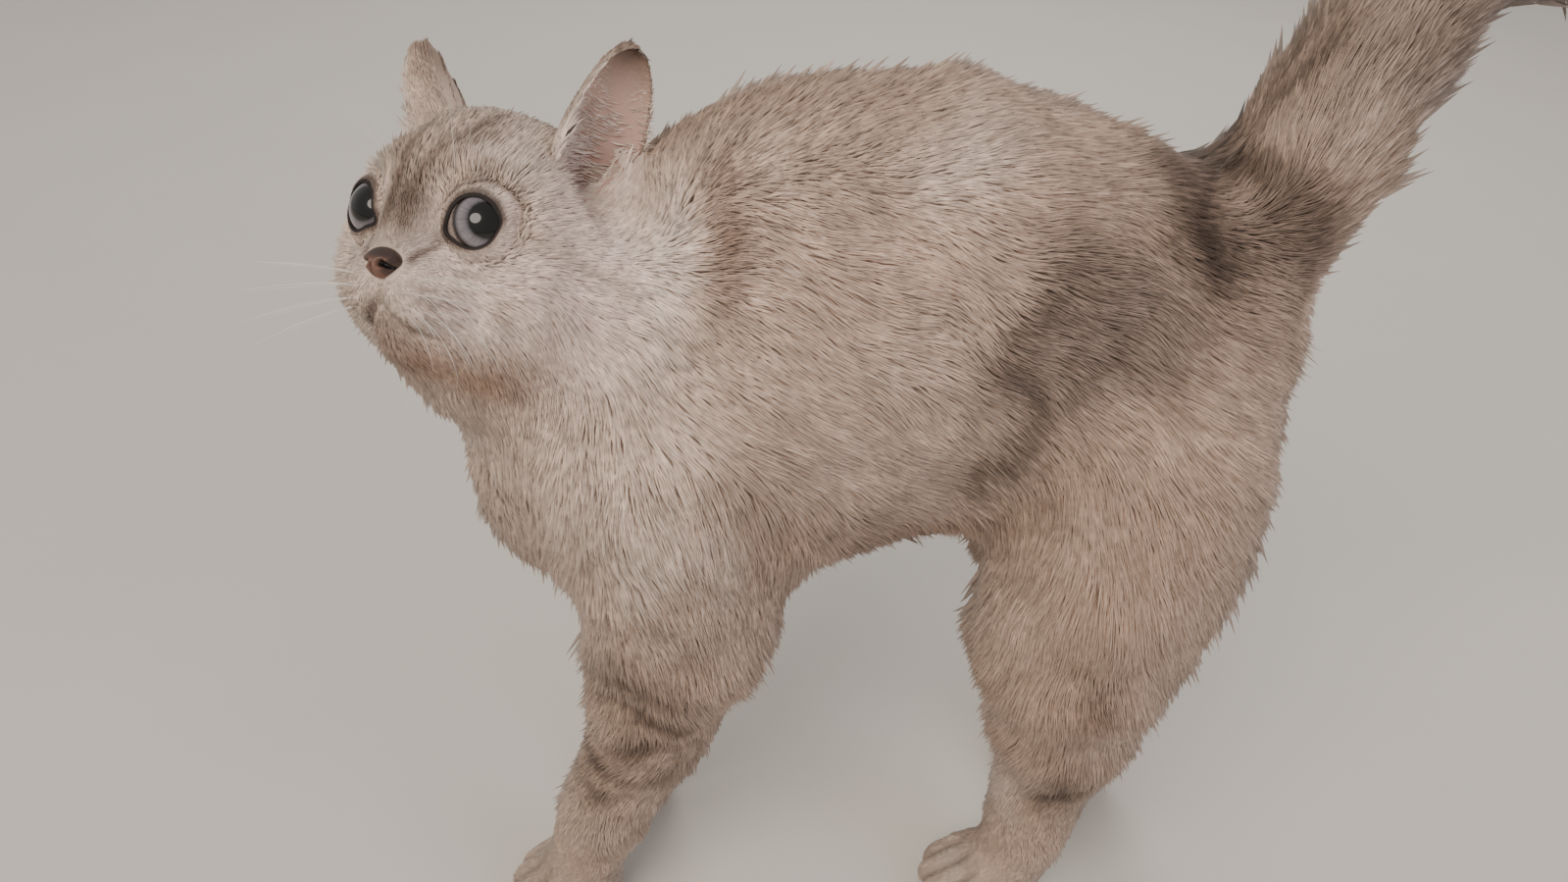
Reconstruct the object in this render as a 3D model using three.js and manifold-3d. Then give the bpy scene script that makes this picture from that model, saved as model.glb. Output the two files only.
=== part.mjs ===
// A domestic short-haired cat of the British type, life size, standing with an arched back, a raised tail
// that hooks backwards, and the head turned to its left and lifted. Millimetres, +Z up.
// The cat faces -X and its left side is -Y. Every size is taken over the coat, so the solids reach its tips.
// The body is one smooth field of distances to rounded links between joints. Each part is meshed from that
// field on a grid that suits its detail, and parted from its neighbours with thin flat cuts.
import * as THREE from "three";
import { mergeVertices } from "three/addons/utils/BufferGeometryUtils.js";
import Module from "manifold-3d";

const wasm = await Module();
wasm.setup();

// ---------------------------------------------------------------- driving dimensions
const GAP = 0.4; // width of every parting cut
const BACK_HEIGHT = 343; // top of the arched back above the floor
const TRUNK_DEEPER = 1.4; // how many times deeper than wide the trunk's section is
const SHOULDER_SPREAD = 28; // shoulder joints from the middle plane
const HIP_SPREAD = 27; // hip joints from the middle plane

const HEAD_CENTRE = [-102.5, -4, 284];
const HEAD_TURN = 54.6; // degrees from straight ahead towards the cat's left
const HEAD_LIFT = 26.5; // degrees that the nose points up
const HEAD_TILT = 8.4; // degrees that the crown leans to the cat's right

// In the head's frame: x ahead to the nose, y to the cat's left, z up through the crown.
const EYE_RADIUS = 10.4;
const EYE_CENTRE = [24, 18.4, 5.6];
const NOSE_CENTRE = [41.5, 0, -9];
const NOSE_SIZE = [5, 6.6, 4.4]; // half length, half width, half height
const EAR = {
  // The left ear's, then the right's, which is turned further out and laid lower.
  root: { "-1": [-8, 26, 27], 1: [-13, 24, 28] }, // middle of the base
  lean: { "-1": [0.09, 0.41, 0.91], 1: [0.07, 0.56, 0.83] }, // from the base to the tip
  turn: { "-1": 68, 1: 88 }, // degrees that the opening looks outwards
  height: 40,
  halfWidth: 15.8,
  fullness: 1.7, // how far up the ear keeps its width
  cup: 10, // how deep the opening is
  thickness: 2.6,
  below: 0.55, // how far the ear runs on inside the head, as a share of its height
  columns: 6,
  rows: 6,
};

// Grid sizes along x, y and z: smaller where the form is finer, longer along the length of a limb.
const GRID = {
  trunk: [24, 18, 17],
  neck: [16, 16, 16],
  tail: [14, 13, 14],
  thigh: [14, 13, 15],
  upperArm: [15, 14, 16],
  shin: [12.5, 12.5, 19.5],
  foot: [11, 10.5, 16],
  paw: [8.8, 7.4, 8.4],
  head: [7.6, 7.6, 7.6],
};

const COAT = { cream: 0xd9c6b4, silver: 0xb9ada3, pale: 0xe6d9cc, shade: 0x9a8c80 };
const NOSE_LEATHER = 0x8c5648;
const EYE_COLOUR = 0x2a2c30;
const INNER_EAR = 0xd2a79a;

const v3 = (x, y, z) => new THREE.Vector3(x, y, z);
const vec = (xyz) => new THREE.Vector3(...xyz);
const radians = THREE.MathUtils.degToRad;
const bothSides = (make) => [make(-1), make(1)]; // -1 is the cat's left, 1 its right

// ---------------------------------------------------------------- fields
// Signed distance to a link: a straight taper between two balls.
function link(a, ra, b, rb) {
  const axis = b.clone().sub(a);
  const length = axis.length();
  const lean = THREE.MathUtils.clamp((ra - rb) / length, -0.95, 0.95);
  const slope = Math.sqrt(1 - lean * lean);
  axis.divideScalar(length);
  return (p) => {
    const x = p.x - a.x;
    const y = p.y - a.y;
    const z = p.z - a.z;
    const along = x * axis.x + y * axis.y + z * axis.z;
    const off = Math.sqrt(Math.max(x * x + y * y + z * z - along * along, 0));
    const t = THREE.MathUtils.clamp((along + (off * lean) / slope) / length, 0, 1);
    return Math.hypot(along - t * length, off) - (ra + (rb - ra) * t);
  };
}

// A row of links through stations, each [point, radius].
function chain(stations) {
  const links = stations.slice(1).map(([b, rb], i) => link(stations[i][0], stations[i][1], b, rb));
  return (p) => {
    let nearest = Infinity;
    for (const distance of links) nearest = Math.min(nearest, distance(p));
    return nearest;
  };
}

// An ellipsoid with its axes along the frame's.
function ellipsoid(centre, rx, ry, rz) {
  const least = Math.min(rx, ry, rz);
  return (p) => (Math.hypot((p.x - centre.x) / rx, (p.y - centre.y) / ry, (p.z - centre.z) / rz) - 1) * least;
}

// Joins two distances with a fillet of about the given width.
function soften(a, b, width) {
  const h = Math.max(width - Math.abs(a - b), 0) / width;
  return Math.min(a, b) - h * h * width * 0.25;
}

const blend = (width, ...fields) => (p) => fields.reduce((d, f) => soften(d, f(p), width), 1e3);

// ---------------------------------------------------------------- trunk and neck
// Stations of the trunk run from the breast to the rump: x, height of its middle, half depth.
const TRUNK = [
  [-71, 205, 47],
  [-46, 222, 61],
  [-22, 240, 80],
  [8, 254, 85.5],
  [38, 263, BACK_HEIGHT - 263],
  [70, 264, 69],
  [96, 254, 66],
  [117, 246, 53],
];

const flattened = v3(0, 0, 0);
function trunkField() {
  const body = chain(TRUNK.map(([x, z, r]) => [v3(x, 0, z), r]));
  return (p) => body(flattened.set(p.x, p.y * TRUNK_DEEPER, p.z));
}

const neckField = chain([
  [v3(-44, 0, 232), 50],
  [v3(-71, -2, 246), 45],
  [v3(-94, -5, 262), 40],
]);

// ---------------------------------------------------------------- legs
// Every leg is a row of joints, each [point, radius], from the body down to just above the paw.
const FORE_STEP = { "-1": v3(-87, -30, 0), 1: v3(-62, 32, 0) };
const HIND_STEP = { "-1": v3(87, -33, 0), 1: v3(138, 33, 0) };

function foreLeg(side) {
  const { x, y } = FORE_STEP[side];
  const back = x + 87; // how far this paw stands behind the leading one
  return [
    [v3(-50, side * SHOULDER_SPREAD, 220), 40],
    [v3(-41 + back * 0.2, side * 31, 158), 35],
    [v3(-47 + back * 0.5, side * 31, 126), 28],
    [v3(-53 + back * 0.7, y, 100), 24],
    [v3(-62 + back * 0.85, y, 74), 20],
    [v3(-71 + back, y, 50), 19],
    [v3(x + 9, y, 27), 16.5],
  ];
}

function hindLeg(side) {
  const { x, y } = HIND_STEP[side];
  const back = x - 87;
  return [
    [v3(114, side * HIP_SPREAD, 222), 43],
    [v3(108 + back * 0.1, side * 31, 178), 42],
    [v3(103 + back * 0.3, side * 34, 146), 38],
    [v3(105 + back * 0.5, side * 34, 112), 30],
    [v3(108 + back * 0.8, y, 92), 25],
    [v3(105 + back, y, 68), 19.5],
    [v3(103 + back, y, 46), 18.5],
    [v3(x + 13, y, 26), 17],
  ];
}

// The heel is the point of the hock, behind and above the foot.
function heel(side) {
  const { x, y } = HIND_STEP[side];
  return link(v3(x + 24, y, 84), 14, v3(x + 36, y, 92), 9);
}

// A paw is a palm and four toes fanned ahead of it, which the floor cuts flat.
const TOE = {
  reach: { fore: 18, hind: 20 }, // from the middle of the step to the tip of a middle toe
  outerShorter: 5,
  rootApart: 8.4,
  tipApart: 9.6,
  rootRadius: 9.5,
  tipRadius: 7.4,
  rootHeight: 13,
  tipHeight: 6.9,
};
function pawField(step, reach) {
  const palm = ellipsoid(v3(step.x + 6, step.y, 13), 20, 16.5, 15);
  const toes = [-1.5, -0.5, 0.5, 1.5].map((place) => {
    const ahead = Math.abs(place) > 1 ? reach - TOE.outerShorter : reach;
    const root = v3(step.x - 2, step.y + place * TOE.rootApart, TOE.rootHeight);
    const tip = v3(step.x - ahead, step.y + place * TOE.tipApart, TOE.tipHeight);
    return link(root, TOE.rootRadius, tip, TOE.tipRadius);
  });
  return blend(4, palm, ...toes);
}

// ---------------------------------------------------------------- tail
const TAIL = [
  [v3(132, 0, 268), 36],
  [v3(149, 0, 302), 27],
  [v3(158, 0, 332), 24.5],
  [v3(170, 0, 360), 21.5],
  [v3(188, 1, 381), 18.5],
  [v3(214, 3, 390), 20],
  [v3(242, 5, 386), 20.5],
  [v3(266, 7, 370), 19.5],
  [v3(284, 8, 348), 17.5],
  [v3(294, 9, 324), 13.5],
];
const tailField = chain(TAIL);

// ---------------------------------------------------------------- head
const headFrame = new THREE.Matrix4()
  .makeTranslation(vec(HEAD_CENTRE))
  .multiply(new THREE.Matrix4().makeRotationZ(Math.PI + radians(HEAD_TURN)))
  .multiply(new THREE.Matrix4().makeRotationY(-radians(HEAD_LIFT)))
  .multiply(new THREE.Matrix4().makeRotationX(radians(HEAD_TILT)));
const intoHead = headFrame.clone().invert();
const inHead = (x, y, z) => v3(x, y, z).applyMatrix4(headFrame);

function skullField() {
  return blend(
    9,
    ellipsoid(v3(-7, 0, 5), 40, 42, 38), // brain case
    link(v3(10, 0, 14), 26, v3(18, 0, 8), 22), // forehead
    link(v3(20, 0, 8), 14, v3(33, 0, -4), 9), // bridge of the nose
    ...bothSides((side) => link(v3(-6, side * 20, -8), 26, v3(10, side * 23, -13), 20)), // cheeks
    ...bothSides((side) => ellipsoid(v3(7, side * 22, 1), 17, 18, 21)), // brows and upper cheeks
    ...bothSides((side) => ellipsoid(v3(32, side * 7.5, -16), 12.5, 11, 10)), // whisker pads
    link(v3(8, 0, -22), 20, v3(29, 0, -28), 10), // lower jaw
  );
}
const skull = skullField();
const local = v3(0, 0, 0);
const headField = (p) => skull(local.copy(p).applyMatrix4(intoHead));

// ---------------------------------------------------------------- whole body
const bodyField = blend(
  18,
  blend(16, trunkField(), neckField, headField),
  tailField,
  ...bothSides((side) => chain(foreLeg(side))),
  ...bothSides((side) => blend(8, chain(hindLeg(side)), heel(side))),
);
const wholeField = blend(
  6,
  bodyField,
  ...bothSides((side) => pawField(FORE_STEP[side], TOE.reach.fore)),
  ...bothSides((side) => pawField(HIND_STEP[side], TOE.reach.hind)),
);

// ---------------------------------------------------------------- meshing
const probe = v3(0, 0, 0);
function slopeAt(field, p, out) {
  const e = 0.25;
  const at = (x, y, z) => field(probe.set(x, y, z));
  out.set(
    at(p.x + e, p.y, p.z) - at(p.x - e, p.y, p.z),
    at(p.x, p.y + e, p.z) - at(p.x, p.y - e, p.z),
    at(p.x, p.y, p.z + e) - at(p.x, p.y, p.z - e),
  );
  return out.divideScalar(2 * e);
}

const solidFrom = (positions, triangles) =>
  new wasm.Manifold(
    new wasm.Mesh({
      numProp: 3,
      vertProperties: new Float32Array(positions),
      triVerts: new Uint32Array(triangles),
    }),
  );

// A grid face whose inside corners touch only across its diagonal would pinch the surface to a point,
// so the shallower of its outside corners is taken in, until no such face is left.
function fillPinches(values, [nx, ny, nz]) {
  const steps = [1, nx, nx * ny];
  for (let filled = true; filled; ) {
    filled = false;
    for (const [a, b] of [[0, 1], [0, 2], [1, 2]])
      for (let n = 0; n + steps[a] + steps[b] < nx * ny * nz; n++) {
        const face = [n, n + steps[a], n + steps[a] + steps[b], n + steps[b]];
        const inside = face.map((m) => values[m] < 0);
        if (inside[0] !== inside[2] || inside[1] !== inside[3] || inside[0] === inside[1]) continue;
        const outside = face.filter((m) => values[m] >= 0);
        const shallow = values[outside[0]] < values[outside[1]] ? outside[0] : outside[1];
        values[shallow] = -0.01 * Math.abs(values[shallow]) - 1e-3;
        filled = true;
      }
  }
}

// Surface nets: one vertex in each grid cell that the surface crosses, then drawn onto the surface.
function meshField(field, low, high, cell) {
  const counts = cell.map((size, axis) => Math.ceil((high[axis] - low[axis]) / size) + 1);
  const [nx, ny, nz] = counts;
  const origin = vec(low);
  const pitch = vec(cell);
  const reach = Math.min(...cell) / 3; // the furthest that a vertex is drawn in one step
  const index = (i, j, k) => i + nx * (j + ny * k);
  const values = new Float32Array(nx * ny * nz);
  const p = v3(0, 0, 0);
  for (let k = 0; k < nz; k++)
    for (let j = 0; j < ny; j++)
      for (let i = 0; i < nx; i++) {
        const d = field(p.set(i, j, k).multiply(pitch).add(origin));
        const atEdge = i * j * k === 0 || i === nx - 1 || j === ny - 1 || k === nz - 1;
        values[index(i, j, k)] = atEdge ? Math.max(d, reach) : d;
      }
  fillPinches(values, counts);
  const corners = [0, 1, 2, 3, 4, 5, 6, 7].map((c) => [c & 1, (c >> 1) & 1, (c >> 2) & 1]);
  const edges = corners.flatMap((_, a) => [1, 2, 4].filter((bit) => !(a & bit)).map((bit) => [a, a | bit]));
  const vertexOf = new Map();
  const positions = [];
  const slope = v3(0, 0, 0);
  for (let k = 0; k < nz - 1; k++)
    for (let j = 0; j < ny - 1; j++)
      for (let i = 0; i < nx - 1; i++) {
        const d = corners.map(([x, y, z]) => values[index(i + x, j + y, k + z)]);
        const inside = d.filter((each) => each < 0).length;
        if (inside === 0 || inside === 8) continue;
        const crossed = edges.filter(([a, b]) => d[a] < 0 !== d[b] < 0);
        p.set(0, 0, 0);
        for (const [a, b] of crossed)
          p.add(vec(corners[a]).lerp(vec(corners[b]), d[a] / (d[a] - d[b])));
        p.divideScalar(crossed.length).add(v3(i, j, k)).multiply(pitch).add(origin);
        for (let n = 0; n < 2; n++) {
          slopeAt(field, p, slope);
          const step = field(p) / Math.max(slope.lengthSq(), 0.05);
          p.addScaledVector(slope, -THREE.MathUtils.clamp(step, -reach, reach));
        }
        vertexOf.set(index(i, j, k), positions.length / 3);
        positions.push(p.x, p.y, p.z);
      }
  const triangles = [];
  const point = (n) => v3(positions[3 * n], positions[3 * n + 1], positions[3 * n + 2]);
  const quad = (a, b, c, d, flip) => {
    const acrossAC = point(a).distanceToSquared(point(c)) < point(b).distanceToSquared(point(d));
    const pair = acrossAC ? [[a, b, c], [a, c, d]] : [[a, b, d], [b, c, d]];
    for (const [x, y, z] of pair) triangles.push(x, flip ? z : y, flip ? y : z);
  };
  const vertex = (i, j, k) => vertexOf.get(index(i, j, k));
  for (let k = 0; k < nz - 1; k++)
    for (let j = 0; j < ny - 1; j++)
      for (let i = 0; i < nx - 1; i++) {
        const here = values[index(i, j, k)] < 0;
        if (here !== values[index(i + 1, j, k)] < 0)
          quad(vertex(i, j - 1, k - 1), vertex(i, j, k - 1), vertex(i, j, k), vertex(i, j - 1, k), !here);
        if (here !== values[index(i, j + 1, k)] < 0)
          quad(vertex(i - 1, j, k - 1), vertex(i - 1, j, k), vertex(i, j, k), vertex(i, j, k - 1), !here);
        if (here !== values[index(i, j, k + 1)] < 0)
          quad(vertex(i - 1, j - 1, k), vertex(i, j - 1, k), vertex(i, j, k), vertex(i - 1, j, k), !here);
      }
  return solidFrom(positions, triangles);
}

// A closed three.js geometry as a solid.
function solidOf(geometry) {
  const bare = geometry.clone();
  bare.deleteAttribute("normal");
  bare.deleteAttribute("uv");
  const merged = mergeVertices(bare, 1e-4);
  return solidFrom(merged.attributes.position.array, merged.index.array);
}

// ---------------------------------------------------------------- parting
// A block that fills everything beyond a point, the way the direction looks, past a set-back.
const BIG = 700;
function beyond(point, direction, setBack) {
  const turn = new THREE.Quaternion().setFromUnitVectors(v3(0, 0, 1), direction.clone().normalize());
  const block = new THREE.BoxGeometry(BIG, BIG, BIG).translate(0, 0, BIG / 2 + setBack);
  return solidOf(block.applyQuaternion(turn).translate(point.x, point.y, point.z));
}

// A cut is a plane: a point on it and the way its far side looks.
const cut = (point, direction) => ({ point: vec(point), direction: vec(direction) });
const far = ({ point, direction }) => (solid) => solid.intersect(beyond(point, direction, GAP / 2));
const near = ({ point, direction }) => (solid) => solid.subtract(beyond(point, direction, -GAP / 2));

const CUT = {
  floor: cut([0, 0, -GAP / 2], [0, 0, 1]),
  head: cut([-80, -2, 266], [-0.78, -0.06, 0.62]),
  neck: cut([-68, 0, 257], [-0.84, 0, 0.55]),
  chest: cut([8, 0, 250], [-1, 0, 0]),
  loin: cut([54, 0, 250], [-1, 0, 0.12]),
  tailRoot: cut([147, 0, 305], [0.52, 0, 0.85]),
  tailMiddle: cut([188, 1, 381], [0.82, 0, 0.57]),
  tailTip: cut([264, 7, 371], [0.7, 0, -0.71]),
};
const legCuts = (side) => ({
  inner: cut([0, 0, 0], [0, side, 0]),
  shoulder: cut([-50, side * 24, 190], [0, side * 0.75, -0.66]),
  breast: cut([-94, 0, 150], [1, 0, 0]),
  elbow: cut([-47, side * 31, 136], [-0.1, 0, -1]),
  wrist: cut([FORE_STEP[side].x + 16, 0, 42], [-0.35, 0, -1]),
  hip: cut([115, side * 30, 200], [0, side * 0.85, -0.53]),
  knee: cut([104, side * 34, 136], [0.06, 0, -1]),
  hock: cut([HIND_STEP[side].x + 20, 0, 86], [0.5, 0, -0.87]),
  ankle: cut([HIND_STEP[side].x + 14, 0, 32], [-0.2, 0, -1]),
});

const group = new THREE.Group();
function addPart(name, solid, colour, roughness = 0.9) {
  const { vertProperties, triVerts } = solid.getMesh();
  const geometry = new THREE.BufferGeometry();
  geometry.setAttribute("position", new THREE.BufferAttribute(vertProperties, 3));
  geometry.setIndex(new THREE.BufferAttribute(triVerts, 1));
  const material = new THREE.MeshStandardMaterial({ color: colour, roughness, metalness: 0 });
  const mesh = new THREE.Mesh(geometry, material);
  mesh.name = name;
  group.add(mesh);
}

// A region of the whole body is meshed in its own box, then cut.
const shaped = (low, high, cell, ...cuts) =>
  cuts.reduce((solid, apply) => apply(solid), meshField(wholeField, low, high, cell));

// ---------------------------------------------------------------- head, eyes, nose and ears
const ball = (radius, centre, scale = [1, 1, 1]) =>
  new THREE.SphereGeometry(radius, 12, 7)
    .rotateZ(-Math.PI / 2)
    .scale(...scale)
    .translate(...centre)
    .applyMatrix4(headFrame);
const eyePlace = (side) => [EYE_CENTRE[0], -side * EYE_CENTRE[1], EYE_CENTRE[2]];
const eyeBall = (side, growth) => solidOf(ball(EYE_RADIUS + growth, eyePlace(side)));
const noseLeather = (growth) => solidOf(ball(1, NOSE_CENTRE, NOSE_SIZE.map((half) => half + growth)));

// The ear is a cupped leaf, wide at its root and round at its tip, with an even thickness.
// A point of the leaf: s runs from -1 to 1 across it, t from 0 at its root to 1 at its tip.
function earLeaf(side, s, t, inset) {
  const turn = radians(EAR.turn[side]);
  const earUp = vec(EAR.lean[side]).normalize();
  const earOpen = v3(Math.cos(turn), Math.sin(turn), 0);
  earOpen.addScaledVector(earUp, -earOpen.dot(earUp)).normalize();
  const earAcross = new THREE.Vector3().crossVectors(earUp, earOpen).normalize();
  const bend = (s * Math.PI) / 2;
  const width = EAR.halfWidth * Math.sqrt(1 - Math.max(t, 0) ** EAR.fullness) + 0.5;
  const aside = width * Math.sin(bend) * (0.88 + 0.12 * t);
  const depth = EAR.cup * (1 - Math.cos(bend)) * (1.15 - 0.75 * t);
  return vec(EAR.root[side])
    .addScaledVector(earAcross, aside)
    .addScaledVector(earOpen, depth - EAR.cup / 2 + inset)
    .addScaledVector(earUp, t * EAR.height);
}

function earSolid(side) {
  const { columns, rows, below } = EAR;
  const points = [];
  for (const inset of [0, EAR.thickness])
    for (let r = 0; r <= rows; r++)
      for (let c = 0; c <= columns; c++)
        points.push(earLeaf(side, (c / columns) * 2 - 1, (r / rows) * (1 + below) - below, inset));
  const at = (layer, r, c) => (layer * (rows + 1) + r) * (columns + 1) + c;
  const triangles = [];
  const quad = (a, b, c, d) => triangles.push(a, b, c, a, c, d);
  for (let r = 0; r < rows; r++)
    for (let c = 0; c < columns; c++) {
      quad(at(0, r, c), at(0, r + 1, c), at(0, r + 1, c + 1), at(0, r, c + 1));
      quad(at(1, r, c), at(1, r, c + 1), at(1, r + 1, c + 1), at(1, r + 1, c));
    }
  for (let c = 0; c < columns; c++) {
    quad(at(0, 0, c), at(0, 0, c + 1), at(1, 0, c + 1), at(1, 0, c));
    quad(at(0, rows, c), at(1, rows, c), at(1, rows, c + 1), at(0, rows, c + 1));
  }
  for (let r = 0; r < rows; r++) {
    quad(at(0, r, 0), at(1, r, 0), at(1, r + 1, 0), at(0, r + 1, 0));
    quad(at(0, r, columns), at(0, r + 1, columns), at(1, r + 1, columns), at(1, r, columns));
  }
  const positions = points.flatMap((p) => {
    p.y *= -side;
    return p.applyMatrix4(headFrame).toArray();
  });
  if (side > 0) triangles.reverse(); // the mirrored ear is turned the right way out again
  return solidFrom(positions, triangles);
}

const HEAD_BOX = [[-166, -66, 200], [-6, 66, 346]];
const NECK_BOX = [[-150, -80, 180], [10, 80, 342]];

// An ear stops just short of the head and the neck that it stands on.
const grownField = (p) => wholeField(p) - 1.5 * GAP;
const grownHead = meshField(grownField, ...HEAD_BOX, GRID.head);
const grownNeck = meshField(grownField, ...NECK_BOX, GRID.neck);
const shownEar = (side) => earSolid(side).subtract(grownHead).subtract(grownNeck);

let head = shaped(...HEAD_BOX, GRID.head, far(CUT.head));
head = head.subtract(noseLeather(GAP));
for (const [name, side] of [["left", -1], ["right", 1]]) {
  head = head.subtract(eyeBall(side, GAP));
  addPart(`eye_${name}`, eyeBall(side, 0), EYE_COLOUR, 0.1);
  addPart(`ear_${name}`, shownEar(side), INNER_EAR);
}
addPart("head", head, COAT.pale);
addPart("nose", noseLeather(0), NOSE_LEATHER, 0.5);

// ---------------------------------------------------------------- neck, trunk and tail
addPart("neck", shaped(...NECK_BOX, GRID.neck, near(CUT.head), far(CUT.neck)), COAT.pale);

// Takes both shoulders, or both hips, off a piece of the trunk.
const offShoulders = (solid) =>
  bothSides(legCuts).reduce((rest, { shoulder, breast }) => {
    const limb = beyond(shoulder.point, shoulder.direction, -GAP / 2);
    return rest.subtract(far(breast)(limb));
  }, solid);
const offHips = (solid) => bothSides(legCuts).reduce((rest, { hip }) => near(hip)(rest), solid);

const TRUNK_BOX = [[-135, -85, 120], [195, 85, 362]];
const trunkPart = (...cuts) => shaped(...TRUNK_BOX, GRID.trunk, ...cuts);
addPart("chest", trunkPart(near(CUT.neck), far(CUT.chest), offShoulders), COAT.cream);
addPart("loin", trunkPart(near(CUT.chest), far(CUT.loin)), COAT.cream);
addPart("rump", trunkPart(near(CUT.loin), near(CUT.tailRoot), offHips), COAT.silver);

const tailPart = ([x0, x1], [z0, z1], ...cuts) =>
  shaped([x0, -45, z0], [x1, 45, z1], GRID.tail, ...cuts);
const tailRoot = tailPart([100, 225], [270, 425], far(CUT.tailRoot), near(CUT.tailMiddle));
const tailMiddle = tailPart([165, 300], [330, 425], far(CUT.tailMiddle), near(CUT.tailTip));
const tailTip = tailPart([235, 325], [295, 405], far(CUT.tailTip));
addPart("tail_root", tailRoot, COAT.silver);
addPart("tail_middle", tailMiddle, COAT.silver);
addPart("tail_tip", tailTip, COAT.shade);

// ---------------------------------------------------------------- legs
for (const [name, side] of [["left", -1], ["right", 1]]) {
  const cuts = legCuts(side);
  const fore = FORE_STEP[side].x;
  const hind = HIND_STEP[side].x;
  const legPart = (part, colour, [x0, x1], [z0, z1], cell, ...more) => {
    const low = [x0, side < 0 ? -90 : -14, z0];
    const high = [x1, side < 0 ? 14 : 90, z1];
    addPart(`${part}_${name}`, shaped(low, high, cell, far(cuts.inner), ...more), colour);
  };
  const upperArm = [far(cuts.shoulder), far(cuts.breast), far(CUT.chest), near(cuts.elbow)];
  const forearm = [far(cuts.elbow), near(cuts.wrist)];
  const thigh = [far(cuts.hip), near(CUT.loin), near(cuts.knee)];
  const shank = [far(cuts.knee), near(cuts.hock)];
  const foot = [far(cuts.hock), near(cuts.ankle)];
  const forePaw = [far(cuts.wrist), far(CUT.floor)];
  const hindPaw = [far(cuts.ankle), far(CUT.floor)];
  legPart("upper_arm", COAT.cream, [-125, 25], [115, 262], GRID.upperArm, ...upperArm);
  legPart("forearm", COAT.cream, [-130, 15], [20, 160], GRID.shin, ...forearm);
  legPart("fore_paw", COAT.pale, [fore - 46, fore + 50], [-14, 66], GRID.paw, ...forePaw);
  legPart("thigh", COAT.silver, [25, 215], [110, 275], GRID.thigh, ...thigh);
  legPart("shank", COAT.cream, [40, 215], [55, 160], GRID.shin, ...shank);
  legPart("foot", COAT.cream, [hind - 30, hind + 75], [10, 125], GRID.foot, ...foot);
  legPart("hind_paw", COAT.pale, [hind - 48, hind + 54], [-14, 56], GRID.paw, ...hindPaw);
}

// The origin is on the floor, under the middle of the whole cat.
const span = new THREE.Box3().setFromObject(group);
const middle = span.getCenter(v3(0, 0, 0));
group.position.set(-middle.x, -middle.y, -span.min.z);
export default group;
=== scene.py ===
"""A plush short-haired cat, life size, standing with an arched back, its tail up and its head turned.

Each section below makes one thing, from the light and the floor to the cat's whiskers.
Lengths are metres in the row frame: the cat faces -X, its left side is -Y, and the floor is z = 0.
"""
import math

import bpy
import bmesh
import numpy as np
from mathutils import Matrix, Vector, bvhtree, kdtree


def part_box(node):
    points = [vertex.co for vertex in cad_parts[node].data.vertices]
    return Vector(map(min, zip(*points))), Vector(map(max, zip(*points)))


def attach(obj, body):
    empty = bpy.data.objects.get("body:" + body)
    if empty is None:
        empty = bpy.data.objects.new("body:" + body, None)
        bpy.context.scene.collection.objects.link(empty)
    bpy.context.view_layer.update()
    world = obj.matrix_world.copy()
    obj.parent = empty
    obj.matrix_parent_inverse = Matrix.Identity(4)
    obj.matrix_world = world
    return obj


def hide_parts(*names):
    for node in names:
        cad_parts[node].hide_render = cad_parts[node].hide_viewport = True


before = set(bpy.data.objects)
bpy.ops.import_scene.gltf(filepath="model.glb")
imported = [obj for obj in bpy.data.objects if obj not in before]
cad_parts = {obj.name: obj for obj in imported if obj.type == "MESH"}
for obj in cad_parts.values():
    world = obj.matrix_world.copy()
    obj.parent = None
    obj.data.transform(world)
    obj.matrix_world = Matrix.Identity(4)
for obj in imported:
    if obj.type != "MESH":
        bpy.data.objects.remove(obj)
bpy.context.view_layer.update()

# ---------------------------------------------------------------- studio
# A pale floor of smooth matt board, a large soft lamp ahead of the cat on its left, a weak one behind it on
# the same side, a third from its right, and a pale room. The camera looks down from the height of a chair.
MM = 0.001
LENS_F, VIEW_WIDTH = 1255, 1599  # focal length and width of the view, both in pixels
SENSOR = 36  # millimetres
CAMERA_PLACE = (-125.98 * MM, -359.2 * MM, 450 * MM)
CAMERA_HEADING, CAMERA_PITCH, CAMERA_ROLL = -6.6, -33.6, 4.0  # degrees
SEEN_FROM, SEEN_TO = 0.01, 50  # metres from the camera
CAT_MIDDLE = (0, 0, 0.22)
# Each lamp: its name, place, width, power in watts and colour.
LAMPS = [
    ("key_lamp", (-0.9, -1.3, 1.7), 1.3, 32, "#fff4e6"),
    ("fill_lamp", (1.2, -1.1, 0.9), 1.2, 9, "#f4f4ff"),
    ("rim_lamp", (0.3, 1.5, 1.5), 0.9, 14, "#fffaf2"),
]
ROOM_COLOUR, ROOM_STRENGTH = "#e6e3df", 0.62
FLOOR_FRESH, FLOOR_WORN = "#cfcac3", "#cac5be"
FLOOR_HALF = 4.0  # metres from the middle of the floor to its edge
PAINT_CLOUDS = 0.009 / MM  # one in about 110 mm


def linear(hex_colour):
    """An sRGB hex colour as linear red, green, blue."""
    value = np.array([int(hex_colour[i : i + 2], 16) for i in (1, 3, 5)]) / 255
    return np.where(value <= 0.04045, value / 12.92, ((value + 0.055) / 1.055) ** 2.4)


def rgba(hex_colour):
    """An sRGB hex colour as a node takes it."""
    return (*linear(hex_colour), 1)


def join(tree, node, links):
    """Fills a node's inputs. links pairs an input's name or number with a socket or a value."""
    for place, source in links.items():
        if isinstance(source, bpy.types.NodeSocket):
            tree.links.new(source, node.inputs[place])
        else:
            node.inputs[place].default_value = source


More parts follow.
